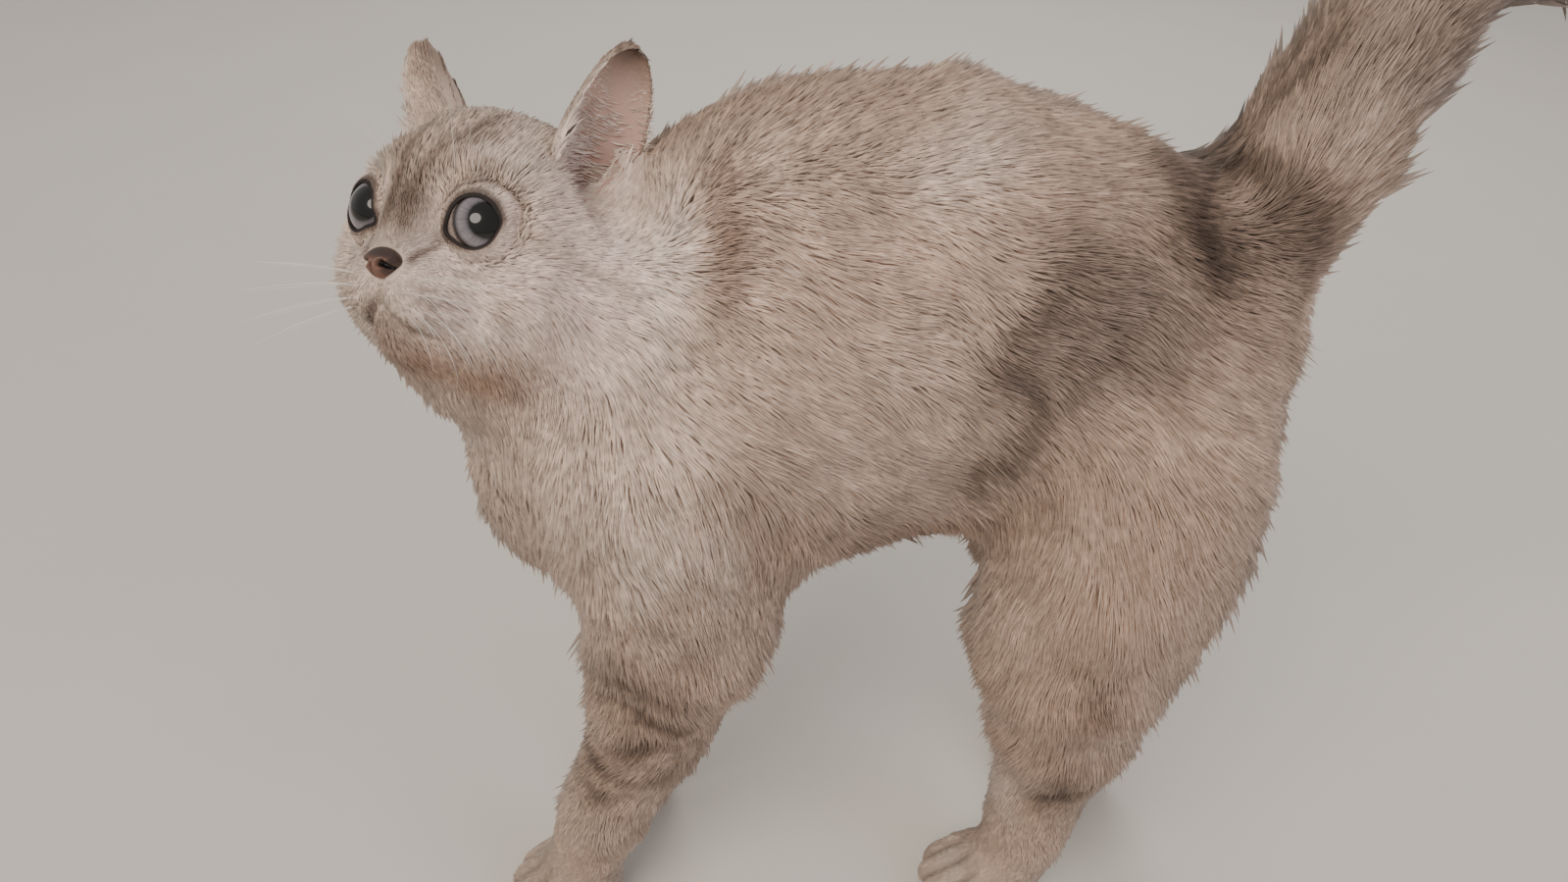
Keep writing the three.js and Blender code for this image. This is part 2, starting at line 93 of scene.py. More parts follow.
def add_node(tree, kind, links=None, **settings):
    """A node with its settings and its inputs filled."""
    node = tree.nodes.new(kind)
    for name, value in settings.items():
        setattr(node, name, value)
    join(tree, node, links or {})
    return node


def new_material(name):
    """An empty material with its tree and its Principled shader."""
    material = bpy.data.materials.new(name)
    material.use_nodes = True
    return material, material.node_tree, material.node_tree.nodes["Principled BSDF"]


def placed(name, data):
    """A new object in the scene."""
    made = bpy.data.objects.new(name, data)
    bpy.context.scene.collection.objects.link(made)
    return made


def new_object(name, points, faces, material=None, smooth=True):
    """A mesh object at the origin, from arrays of points and of faces that have the same corners each."""
    points, faces = np.asarray(points, np.float32), np.asarray(faces, np.int32)
    mesh = bpy.data.meshes.new(name)
    mesh.vertices.add(len(points))
    mesh.vertices.foreach_set("co", points.ravel())
    mesh.loops.add(faces.size)
    mesh.loops.foreach_set("vertex_index", faces.ravel())
    mesh.polygons.add(len(faces))
    mesh.polygons.foreach_set("loop_start", np.arange(0, faces.size, faces.shape[1], dtype=np.int32))
    mesh.update(calc_edges=True)
    mesh.polygons.foreach_set("use_smooth", np.full(len(faces), smooth))
    if material:
        mesh.materials.append(material)
    return placed(name, mesh)


camera = placed("camera", bpy.data.cameras.new("camera"))
camera.data.sensor_width = SENSOR
camera.data.lens = SENSOR * LENS_F / VIEW_WIDTH
camera.data.clip_start, camera.data.clip_end = SEEN_FROM, SEEN_TO
camera.matrix_world = (
    Matrix.Translation(CAMERA_PLACE)
    @ Matrix.Rotation(math.radians(CAMERA_HEADING), 4, "Z")
    @ Matrix.Rotation(math.radians(90 + CAMERA_PITCH), 4, "X")
    @ Matrix.Rotation(math.radians(CAMERA_ROLL), 4, "Z")
)
bpy.context.scene.camera = camera

for name, place, size, power, colour in LAMPS:
    lamp = placed(name, bpy.data.lights.new(name, "AREA"))
    lamp.data.shape, lamp.data.size, lamp.data.energy = "DISK", size, power
    lamp.data.color = linear(colour)
    lamp.location = place
    lamp.rotation_euler = (Vector(CAT_MIDDLE) - Vector(place)).to_track_quat("-Z", "Y").to_euler()
    lamp.visible_glossy = name != "fill_lamp"  # which would put a second light in the eyes
world = bpy.data.worlds.new("pale_room")
world.use_nodes = True
air = world.node_tree.nodes["Background"]
join(world.node_tree, air, {"Color": rgba(ROOM_COLOUR), "Strength": ROOM_STRENGTH})
bpy.context.scene.world = world

# The board's matt paint breaks up a little, so that it isn't one flat tone.
floor_paint, tree, shader = new_material("matt_painted_board")
place = add_node(tree, "ShaderNodeTexCoord").outputs["Object"]
grain = add_node(tree, "ShaderNodeTexNoise", {"Vector": place, "Scale": PAINT_CLOUDS, "Detail": 6.0})
tones = {0: grain.outputs["Fac"], 6: rgba(FLOOR_WORN), 7: rgba(FLOOR_FRESH)}
tone = add_node(tree, "ShaderNodeMix", tones, data_type="RGBA")
join(tree, shader, {"Base Color": tone.outputs[2], "Roughness": 0.7})
corners = [(x * FLOOR_HALF, y * FLOOR_HALF, 0) for x, y in ((-1, -1), (1, -1), (1, 1), (-1, 1))]
new_object("floor", corners, [(0, 1, 2, 3)], floor_paint, smooth=False)

# ---------------------------------------------------------------- skin
# The body under the coat: one closed hide of soft, slightly oily skin over the muscles, which shows only
# where the coat parts. It lies inside the animal's outline by the depth of the coat at each place.
RIDES_ON = "root"
LIMBS = ("upper_arm", "forearm", "fore_paw", "thigh", "shank", "foot", "hind_paw")
PAWED = ("fore_paw", "hind_paw")
FLESH = ["head", "neck", "chest", "loin", "rump", "tail_root", "tail_middle", "tail_tip"]
FLESH += [f"{limb}_{side}" for side in ("left", "right") for limb in LIMBS]
WELD = 0.01 * MM
PARTING = 0.6 * MM  # how far each part is grown, so that the cuts between them close
SKIN_GRAIN = 2.4 * MM  # size of the skin's faces, halved on the face, by the ears and on the paws

# For each part: how deep its coat is, how long and how wide its locks are, in millimetres, how many there are
# to a square millimetre, how many degrees they stand up, and which way they lie (x, y, z).
COAT = {
    "head": (3.6, 7.2, 0.36, 2.5, 26, (1, 0, 0)),
    "neck": (5.0, 11.5, 0.43, 1.5, 25, (0.8, 0, -0.8)),
    "chest": (4.8, 11, 0.43, 1.35, 25, (1, 0, -0.5)),
    "loin": (4.6, 10.5, 0.43, 1.35, 24, (1, 0, -0.4)),
    "rump": (4.8, 11, 0.43, 1.35, 25, (1, 0, -0.6)),
    "tail_root": (5.0, 13, 0.44, 1.35, 25, (0.35, 0, 1)),
    "tail_middle": (5.2, 13.5, 0.44, 1.35, 25, (1, 0, 0)),
    "tail_tip": (4.6, 12.5, 0.43, 1.35, 25, (0.45, 0, -1)),
    "upper_arm": (4.2, 11.5, 0.41, 1.35, 29, (0.3, 0, -1)),
    "forearm": (2.6, 7.0, 0.36, 1.7, 28, (-0.2, 0, -1)),
    "fore_paw": (1.2, 2.8, 0.28, 2.4, 20, (-1, 0, -0.5)),
    "thigh": (4.5, 13, 0.43, 1.3, 30, (0.35, 0, -1)),
    "shank": (3.4, 10, 0.4, 1.4, 30, (0.15, 0, -1)),
    "foot": (2.1, 5.6, 0.34, 1.7, 26, (-0.1, 0, -1)),
    "hind_paw": (1.2, 2.8, 0.28, 2.4, 20, (-1, 0, -0.5)),
}
MOST_LOCKS = 368000


def kind_of(node):
    """upper_arm for upper_arm_left, and so on."""
    return node.removesuffix("_left").removesuffix("_right")


def welded(node, growth):
    """Points and faces of a part, its loose triangles joined and its surface pushed out by growth."""
    mesh = bmesh.new()
    mesh.from_mesh(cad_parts[node].data)
    bmesh.ops.remove_doubles(mesh, verts=mesh.verts, dist=WELD)
    mesh.normal_update()
    points = np.array([v.co + v.normal * growth for v in mesh.verts])
    faces = [[v.index for v in face.verts] for face in mesh.faces]
    mesh.free()
    return points, faces


def halved(quads):
    """Square faces as triangles."""
    return np.concatenate([quads[:, [0, 1, 2]], quads[:, [0, 2, 3]]])


def remeshed(points, triangles, size):
    """Points and triangles of one even closed surface round a closed mesh."""
    rough = new_object("rough", points, triangles)
    modifier = rough.modifiers.new("remesh", "REMESH")
    modifier.mode, modifier.voxel_size = "VOXEL", size
    even = bpy.data.meshes.new_from_object(rough.evaluated_get(bpy.context.evaluated_depsgraph_get()))
    bpy.data.objects.remove(rough)
    places = np.empty(len(even.vertices) * 3, np.float32)
    even.vertices.foreach_get("co", places)
    corners = np.empty(len(even.loops), np.int32)
    even.loops.foreach_get("vertex_index", corners)
    bpy.data.meshes.remove(even)
    return places.reshape(-1, 3).astype(float), halved(corners.reshape(-1, 4))


def edges_of(triangles):
    """Every edge of the triangles, once."""
    pairs = np.concatenate([triangles[:, pair] for pair in ([0, 1], [1, 2], [2, 0])])
    return np.unique(np.sort(pairs, axis=1), axis=0)


def evened(values, edges, rounds):
    """Values at the points, moved half way to their neighbours' mean each round."""
    values = values.reshape(len(values), -1).astype(float)
    one, other = edges.T
    count = np.bincount(edges.ravel(), minlength=len(values))[:, None]
    for _ in range(rounds):
        sums = [
            np.bincount(one, column[other], len(values)) + np.bincount(other, column[one], len(values))
            for column in values.T
        ]
        values = (values + np.stack(sums, 1) / count) / 2
    return values


def unit(vectors):
    """Vectors made one long."""
    return vectors / np.maximum(np.linalg.norm(vectors, axis=-1, keepdims=True), 1e-12)


def normals_of(points, triangles):
    """The way the surface looks at each point."""
    a, b, c = points[triangles].transpose(1, 0, 2)
    across = np.cross(b - a, c - a)
    total = [sum(np.bincount(corner, across[:, k], len(points)) for corner in triangles.T) for k in range(3)]
    return unit(np.stack(total, 1))


def finer(points, triangles, chosen):
    """The same surface, with each triangle whose points are all chosen cut in four."""
    whole = new_object("whole", points, triangles)
    mesh = bmesh.new()
    mesh.from_mesh(whole.data)
    edges = [edge for edge in mesh.edges if chosen[edge.verts[0].index] and chosen[edge.verts[1].index]]
    bmesh.ops.subdivide_edges(mesh, edges=edges, cuts=1, use_grid_fill=True)
    bmesh.ops.triangulate(mesh, faces=mesh.faces[:])
    points = np.array([point.co for point in mesh.verts])
    triangles = np.array([[point.index for point in face.verts] for face in mesh.faces])
    mesh.free()
    bpy.data.objects.remove(whole)
    return points, triangles


def smoothstep(low, high, value):
    """0 below low, 1 above high, with an easy change between. low may be the greater."""
    t = np.clip((value - low) / (high - low), 0, 1)
    return t * t * (3 - 2 * t)


def bell(off, width):
    """1 where off is nought, falling away to about a third at the width."""
    return np.exp(-((off / width) ** 2))


def blob(places, middle, reach):
    """1 at the middle of a soft round patch, falling away to about a third at its reach along each axis."""
    return np.exp(-((((places - middle) / reach) ** 2).sum(1)))


# The head's own axes, from where its eyes and nose lie: ahead, to its left and up, in millimetres.
EYE_AT = (24, 18.4, 5.6)
NOSE_AT = (41.5, 0, -9)
EYE_RADIUS = 10.4
eye_left, eye_right, nose_middle = (
    np.array(sum(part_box(node), Vector())) / 2 for node in ("eye_left", "eye_right", "nose")
)
head_left = unit(eye_left - eye_right)
between_eyes = (eye_left + eye_right) / 2
down_nose = unit(nose_middle - between_eyes)
slope = math.atan2(NOSE_AT[2] - EYE_AT[2], NOSE_AT[0] - EYE_AT[0])
across_nose = np.cross(head_left, down_nose)
head_ahead = down_nose * math.cos(slope) + across_nose * math.sin(slope)
head_up = np.cross(head_ahead, head_left)
head_axes = np.stack([head_ahead, head_left, head_up])
head_middle = between_eyes - (head_axes.T @ (EYE_AT[0], 0, EYE_AT[2])) * MM


def in_head(points):
    """Places in the row frame as millimetres in the head's own axes."""
    return (points - head_middle) @ head_axes.T / MM


def from_head(places):
    """Millimetres in the head's own axes as places in the row frame."""
    return head_middle + np.asarray(places) * MM @ head_axes


points, faces, owners = [], [], []
for node in FLESH:
    part_points, part_faces = welded(node, PARTING)
    faces += [[corner + len(owners) for corner in face] for face in part_faces]
    points.append(part_points)
    owners += [node] * len(part_points)
points = np.concatenate(points)


def finder(places):
    """A tree that finds the nearest of the places."""
    found = kdtree.KDTree(len(places))
    for number, place in enumerate(places):
        found.insert(place, number)
    found.balance()
    return found


nearest_part = finder(points)
OUTLINE_EVENED, DEPTH_EVENED, SKIN_EVENED, FINE_EVENED = 10, 25, 3, 2  # rounds
outline, triangles = remeshed(points, faces, SKIN_GRAIN)
edges = edges_of(triangles)
outline = evened(outline, edges, OUTLINE_EVENED)


def part_at(places):
    """The kind of part that each place is on."""
    return np.array([kind_of(owners[nearest_part.find(place)[1]]) for place in places])


def face_at(part_of, place):
    """How much each point is of the face, 0 on the back of the head to 1."""
    return np.where(part_of == "head", smoothstep(-6, 18, place[:, 0]), 0)


NOSE_TIP = (46, 0, -7)
NOSE_DEPTH, FACE_DEPTH = 0.7, 2.4  # of the coat by the nose and on the cheeks and the forehead
part_of = part_at(outline)
depth = np.array([COAT[part][0] for part in part_of])
place = in_head(outline)
by_nose = smoothstep(30, 6, np.linalg.norm(place - NOSE_TIP, axis=1))
depth += (FACE_DEPTH + (NOSE_DEPTH - FACE_DEPTH) * by_nose - depth) * face_at(part_of, place)
depth = evened(depth, edges, DEPTH_EVENED)[:, 0]
under_coat = outline - normals_of(outline, triangles) * (depth * MM + PARTING)[:, None]
points, triangles = remeshed(under_coat, triangles, SKIN_GRAIN)
points = evened(points, edges_of(triangles), SKIN_EVENED)
part_of = part_at(points)
FACE_BEGINS = 4  # how far ahead in the head
EAR_BASE, EAR_BASE_REACH = (-2, 36, 26), 20


def both_sides(places):
    """Places with the two sides laid on one another."""
    return np.stack([places[:, 0], np.abs(places[:, 1]), places[:, 2]], 1)


def in_half_head(points):
    """Places in the head's own axes, with its right side laid on its left."""
    return both_sides(in_head(points))


place = in_half_head(points)
detailed = (place[:, 0] > FACE_BEGINS) | (np.linalg.norm(place - EAR_BASE, axis=1) < EAR_BASE_REACH)
detailed &= part_of == "head"
points, triangles = finer(points, triangles, detailed | np.isin(part_of, PAWED))
points = evened(points, edges_of(triangles), FINE_EVENED)
part_of = part_at(points)

# The face's flesh: where it swells or sinks, how far that reaches along the head's axes, and how much.
SWELLS = [
    ((38, 10.5, -18.5), (8, 7, 5.5), 2.3),  # whisker pad
    ((37, 0, -31), (8, 6, 4), 0.8),  # chin
    ((40, 0, 3), (8, 3.6, 9), 0.9),  # bridge of the nose
    ((36, 9.5, -1), (7, 3.2, 5), -1.7),  # hollow beside it, under the inner corner of the eye
    ((30, 22, -19), (7, 3.5, 6), -1.0),  # behind the whisker pad
    ((29, 16, 21), (8, 8, 4), 0.9),  # brow
    ((32, 0, 21), (7, 3.5, 8), -0.7),  # furrow of the forehead
]
place = in_half_head(points)
swell = np.zeros(len(points))
for middle, reach, height in SWELLS:
    swell += height * blob(place, middle, reach)
points += normals_of(points, triangles) * (swell * MM * (part_of == "head"))[:, None]

bare_face = bvhtree.BVHTree.FromPolygons(points.tolist(), triangles.tolist())
LAID_STEPS = 5  # between two stations


def laid(line):
    """A line on the head through stations, cut finer and laid on the skin, in the head's own axes."""
    line = np.array(line, float)
    steps = np.linspace(0, len(line) - 1, (len(line) - 1) * LAID_STEPS + 1)
    places = np.stack([np.interp(steps, np.arange(len(line)), column) for column in line.T], 1)
    return in_head(np.array([bare_face.find_nearest(Vector(place))[0] for place in from_head(places)]))


# The mouth: a crease that drops from the nose and then runs out and back under each whisker pad.
LIP_LINE = laid([(45, 0, -14), (44, 0, -21), (41, 4.5, -25.5), (37, 8.5, -28.3), (32.5, 13.5, -29.5)])


def from_line(places, line):
    """Distance to the nearest point of a line through stations, and how far along it that point is."""
    nearest = np.full(len(places), np.inf)
    along = np.zeros(len(places))
    line = np.array(line, float)
    for number, (a, b) in enumerate(zip(line[:-1], line[1:])):
        share = np.clip((places - a) @ (b - a) / ((b - a) @ (b - a)), 0, 1)
        off = np.linalg.norm(places - a - share[:, None] * (b - a), axis=1)
        along = np.where(off < nearest, number + share, along)
        nearest = np.minimum(nearest, off)
    return nearest, along / (len(line) - 1)


LIP_DEPTH, LIP_WIDTH = 2.0, 1.3
off_lip, along_lip = from_line(in_half_head(points), LIP_LINE)
crease = LIP_DEPTH * bell(off_lip, LIP_WIDTH) * (1 - 0.6 * along_lip)
points -= normals_of(points, triangles) * (crease * MM * (part_of == "head"))[:, None]

# The paws: where each stands, how far ahead its middle toes reach, and the clefts between its toes.
PAWS = [((-166.4, -30.2), 18), ((-141.4, 31.8), 18), ((7.6, -33.2), 20), ((58.6, 32.8), 20)]
TOES_APART = 9.2
CLEFT_DEPTH, CLEFT_WIDTH = 2.4, 1.6


def cleft_share(points, width):
    """How nearly each point is in a cleft between two toes, 0 to 1."""
    share = np.zeros(len(points))
    for (x, y), _ in PAWS:
        off = points / MM - (x, y, 0)
        near = smoothstep(-2, -9, off[:, 0]) * smoothstep(26, 18, np.abs(off[:, 1])) * (off[:, 0] > -40)
        for place in (-1, 0, 1):
            share = np.maximum(share, near * bell(off[:, 1] - place * TOES_APART, width))
    return share


cleft = cleft_share(points, CLEFT_WIDTH) * np.isin(part_of, PAWED)
points -= normals_of(points, triangles) * (cleft * CLEFT_DEPTH * MM)[:, None]

# ---------------------------------------------------------------- eyelids
# Two thin lids round each eye, of the same hide, bare and dark at their rims and at the inner corner,
# where the tears drain. They lie on the eyeball and sink under the face's skin.
EYE_OPENS = (19.5, 2.4)  # degrees outwards and up that the opening looks
LID_HALF = 40  # degrees from the middle of the opening to the rim
INNER_CORNER, OUTER_CORNER = (205, 10, 24), (8, 4, 24)  # where, how far beyond the rim, how wide: degrees
LID_STEPS = 96
# The lid's section: degrees beyond the rim, and how far off the eyeball in millimetres.
LID_SECTION = [(1.5, 0.15), (0, 0.35), (0.3, 0.6), (1.4, 0.8), (3, 0.95), (5, 1.05), (7, 1.1), (9, 1.1),
               (11, 1.05), (12, 0.8), (13, -0.5), (9, -1.1), (5, -0.7)]
LID_FIXED, LID_FULL = 5, 12  # the section is stretched beyond the first, so that the second meets the face
LID_LEAST, LID_MOST, LID_OVERLAP = 8, 90, 3  # degrees beyond the rim that the lids reach, and further yet
SEEK_FROM, SEEK_LONG = 9, 8.3  # how far off the eyeball the face's skin is sought from, and how deep
FACE_OFF = 1.15  # how far off the eyeball the face's skin lies beside the lids
FACE_UNDER = 2.5  # how far under the eyeball's front it passes within them
FACE_JOINS = (9, 50)  # degrees beyond the rim over which it rises to its own height
ROUND_EYE = 8  # how far from the eyeball the face is drawn to it


def eye_axes(side, outwards, up):
    """The way an eye looks, and the ways outwards and up across it. side is 1 on the left."""
    a, b = math.radians(outwards), math.radians(up)
    looks = np.array([math.cos(a) * math.cos(b), side * math.sin(a) * math.cos(b), math.sin(b)])
    aside = unit(np.array([-looks[1], looks[0], 0]) * side)
    return looks, aside, np.cross(looks, aside) * side


def rim_at(around):
    """Degrees from the middle of the opening to the lid's rim. around is 0 outwards and 90 up."""
    rim = np.full(np.shape(around), float(LID_HALF))
    for at, reach, width in (INNER_CORNER, OUTER_CORNER):
        off = (around - at + 180) % 360 - 180
        rim += reach * np.exp(-((off / width) ** 2) * 2)
    return rim


def beyond_rim(points):
    """For each point, degrees outside the nearer eye's opening, distance from that eye and way off it."""
    place = in_half_head(points) - EYE_AT
    away = np.linalg.norm(place, axis=1)
    ways = place / away[:, None]
    looks, aside, over = eye_axes(1, *EYE_OPENS)
    around = np.degrees(np.arctan2(ways @ over, ways @ aside)) % 360
    return np.degrees(np.arccos(np.clip(ways @ looks, -1, 1))) - rim_at(around), away, around


def lids(side, face):
    """Points, triangles and marks of one eye's lids, which reach out to where the face covers the eyeball."""
    looks, aside, over = eye_axes(side, *EYE_OPENS)
    round_eye = np.arange(LID_STEPS) * 360 / LID_STEPS
    turn = np.radians(round_eye)[:, None]
    outward = aside * np.cos(turn) + over * np.sin(turn)
    middle = np.array(EYE_AT) * (1, side, 1)
    reach = np.zeros(LID_STEPS)
    for step in range(LID_STEPS):
        for reach[step] in range(LID_LEAST, LID_MOST, 2):
            angle = math.radians(rim_at(round_eye[step]) + reach[step])
            ray = looks * math.cos(angle) + outward[step] * math.sin(angle)
            start = from_head((middle + ray * (EYE_RADIUS + SEEK_FROM))[None])[0]
            if face.ray_cast(Vector(start), Vector(-ray @ head_axes), SEEK_LONG * MM)[0]:
                break
    reach = np.maximum.reduce([np.roll(reach, shift) for shift in range(-2, 3)])
    reach = sum(np.roll(reach, shift) for shift in range(-3, 4)) / 7 + LID_OVERLAP
    places = []
    for beyond, off_ball in LID_SECTION:
        if beyond > LID_FIXED:
            beyond = LID_FIXED + (beyond - LID_FIXED) * (reach - LID_FIXED) / (LID_FULL - LID_FIXED)
        angle = np.radians(rim_at(round_eye) + beyond)[:, None]
        places.append((looks * np.cos(angle) + outward * np.sin(angle)) * (EYE_RADIUS + off_ball))
    number = np.arange(len(places) * LID_STEPS).reshape(-1, LID_STEPS)
    down, on = np.roll(number, -1, 0), np.roll(number, -1, 1)
    faces = np.stack([number, on, np.roll(down, -1, 1), down], -1).reshape(-1, 4)
    rows = np.repeat(np.arange(len(LID_SECTION)), LID_STEPS)
    marks = np.stack([rows, np.tile(round_eye, len(LID_SECTION)), rows * 0], 1)
    return from_head(np.concatenate(places) + middle), halved(faces if side < 0 else faces[:, ::-1]), marks


# The face's skin is drawn down to the lids all round, and passes behind the eyeball within them.
beyond, away, _ = beyond_rim(points)
place = in_head(points)
near_eye = (part_of == "head") & (away < EYE_RADIUS + ROUND_EYE) & (place[:, 0] > EYE_AT[0] - ROUND_EYE)
aimed = EYE_RADIUS + FACE_OFF - (FACE_OFF + FACE_UNDER) * smoothstep(7.5, 2, beyond)
share = smoothstep(FACE_JOINS[1], FACE_JOINS[0], beyond) * near_eye
eye_middle = EYE_AT * np.where(place[:, 1] > 0, 1, -1)[:, None] ** np.array([0, 1, 0])
points = from_head(eye_middle + (place - eye_middle) * (1 + share * (aimed / away - 1))[:, None])

# ---------------------------------------------------------------- ears
# Two short, round-tipped ears of thin gristle, cupped forwards and outwards. The back is furred; the
# inside is bare pink skin with long pale hairs that spring from the front edge.
# The left ear's, then the right's: its root, its lean to the tip, and degrees that it opens outwards.
EAR_ROOT = {1: (-8, 26, 27), -1: (-13, 24, 28)}
EAR_LEAN = {1: (0.09, 0.41, 0.91), -1: (0.07, 0.56, 0.83)}
EAR_TURN = {1: 68, -1: 88}
EAR_HEIGHT, EAR_HALF_WIDTH, EAR_CUP = 40, 15.8, 10
EAR_BACK, EAR_FRONT = 0.5, 2.2  # where the two faces lie, from the back of the gristle
EAR_BELOW = 0.5  # how far it runs on into the head, as a share of its height
EAR_COLUMNS, EAR_ROWS = 40, 44
EAR_POCKET = (0.84, 0.14, 2.4)  # the small fold at the rear edge: across, up, and how far it stands out


def ear_axes(side):
    """An ear's ways up, out of its opening and across it to its rear edge, as if it were the left one."""
    up = unit(np.array(EAR_LEAN[side], float))
    turn = math.radians(EAR_TURN[side])
    opens = np.array([math.cos(turn), math.sin(turn), 0])
    opens = unit(opens - up * (opens @ up))
    return up, opens, np.cross(up, opens)


def ear_width(t):
    """Half the ear's width at the height t, from 0 at its root to 1 at its tip."""
    return EAR_HALF_WIDTH * np.sqrt(1 - np.clip(t, 0, 1) ** 1.7) + 0.3


def ear_cup(s, t):
    """How far the back of the gristle stands out of the ear's plane, s across it and t up it."""
    return EAR_CUP * (1 - np.cos(s * math.pi / 2)) * (1.15 - 0.75 * t) - EAR_CUP / 2


def ear(side):
    """Points and triangles of one ear, and marks: each point's place across and up, and if it is inside."""
    up, opens, across = ear_axes(side)
    s, t = np.meshgrid(np.linspace(-1, 1, EAR_COLUMNS + 1), np.linspace(-EAR_BELOW, 1, EAR_ROWS + 1))
    fold = np.exp(-(((s - EAR_POCKET[0]) / 0.12) ** 2) - ((t - EAR_POCKET[1]) / 0.09) ** 2)
    aside = ear_width(t) * np.sin(s * math.pi / 2) * (0.88 + 0.12 * t) + fold * EAR_POCKET[2]
    sheets = []
    for inset in (EAR_BACK, EAR_FRONT):
        rim_thin = (inset - EAR_BACK) * (1 - 0.6 * np.abs(s) ** 6)
        off = ear_cup(s, t) + EAR_BACK + rim_thin
        leaf = np.array(EAR_ROOT[side]) + across * aside[..., None] + opens * off[..., None]
        sheets.append(leaf + up * (t * EAR_HEIGHT)[..., None])
    places = np.stack(sheets) * (1, side, 1)
    number = np.arange(places[..., 0].size).reshape(places.shape[:3])
    faces = []
    for grid, order in ((number[0], slice(None)), (number[1], slice(None, None, -1))):
        cells = np.stack([grid[:-1, :-1], grid[1:, :-1], grid[1:, 1:], grid[:-1, 1:]], -1).reshape(-1, 4)
        faces.append(cells[:, order])
    rim = [number[:, 0, :], number[:, 1:, -1], number[:, -1, -2::-1], number[:, -2:0:-1, 0]]
    behind, before = np.concatenate(rim, 1)
    faces.append(np.stack([behind, np.roll(behind, -1), np.roll(before, -1), before], -1))
    faces = np.concatenate(faces)
    marks = np.stack([np.tile(s.ravel(), 2), np.tile(t.ravel(), 2), np.repeat([0.0, 1.0], s.size)], 1)
    return from_head(places.reshape(-1, 3)), halved(faces if side > 0 else faces[:, ::-1]), marks


# The bowl at the foot of each ear: the head's skin falls in to the gristle within this oval.
BOWL_MIDDLE, BOWL_HALF = (-1, 5), (12, 13.5)  # across and up from the ear's root, in millimetres
bowl_share = np.zeros(len(points))
for side in (1, -1):
    up, opens, across = ear_axes(side)
    place = in_head(points) * (1, side, 1) - EAR_ROOT[side]
    aside, rise, off = place @ across, place @ up, place @ opens
    from_bowl = np.hypot((aside - BOWL_MIDDLE[0]) / BOWL_HALF[0], (rise - BOWL_MIDDLE[1]) / BOWL_HALF[1])
    t = rise / EAR_HEIGHT
    s = np.arcsin(np.clip(aside / ear_width(t) / (0.88 + 0.12 * t), -1, 1)) * 2 / math.pi
    gristle = ear_cup(s, t) + EAR_BACK
    share = smoothstep(1.12, 0.82, from_bowl) * (off > gristle) * (part_of == "head")
    points += opens * (1, side, 1) * ((gristle - off) * share)[:, None] * MM @ head_axes
    bowl_share += share

# The lids and the ears join the hide: shells of the same skin that sink under it. A lid's marks are the row
# of its section and the degrees round the eye.
under_fur = bvhtree.BVHTree.FromPolygons(points.tolist(), triangles.tolist())
shell_marks = np.zeros((len(points), 3))
for side in (1, -1):
    for kind, shell in (("lid", lids(side, under_fur)), ("ear", ear(side))):
        triangles = np.concatenate([triangles, shell[1] + len(points)])
        points = np.concatenate([points, shell[0]])
        part_of = np.append(part_of, np.full(len(shell[0]), kind))
        shell_marks = np.concatenate([shell_marks, shell[2]])
bowl_share = np.append(bowl_share, np.zeros(len(points) - len(bowl_share)))
skin_points, skin_triangles = points, triangles
skin_edges = edges_of(skin_triangles)
skin_normals = normals_of(skin_points, skin_triangles)

# ---------------------------------------------------------------- markings
# A shaded cream coat: whitish on the face, ruff and paws, warm beige on the flanks, and tipped with
# grey-brown along the back, over the haunches and round the root of the tail. Skin and fur share it.
# Some patches are painted shade, in the folds and under the body.
BEIGE = "#c3a998"
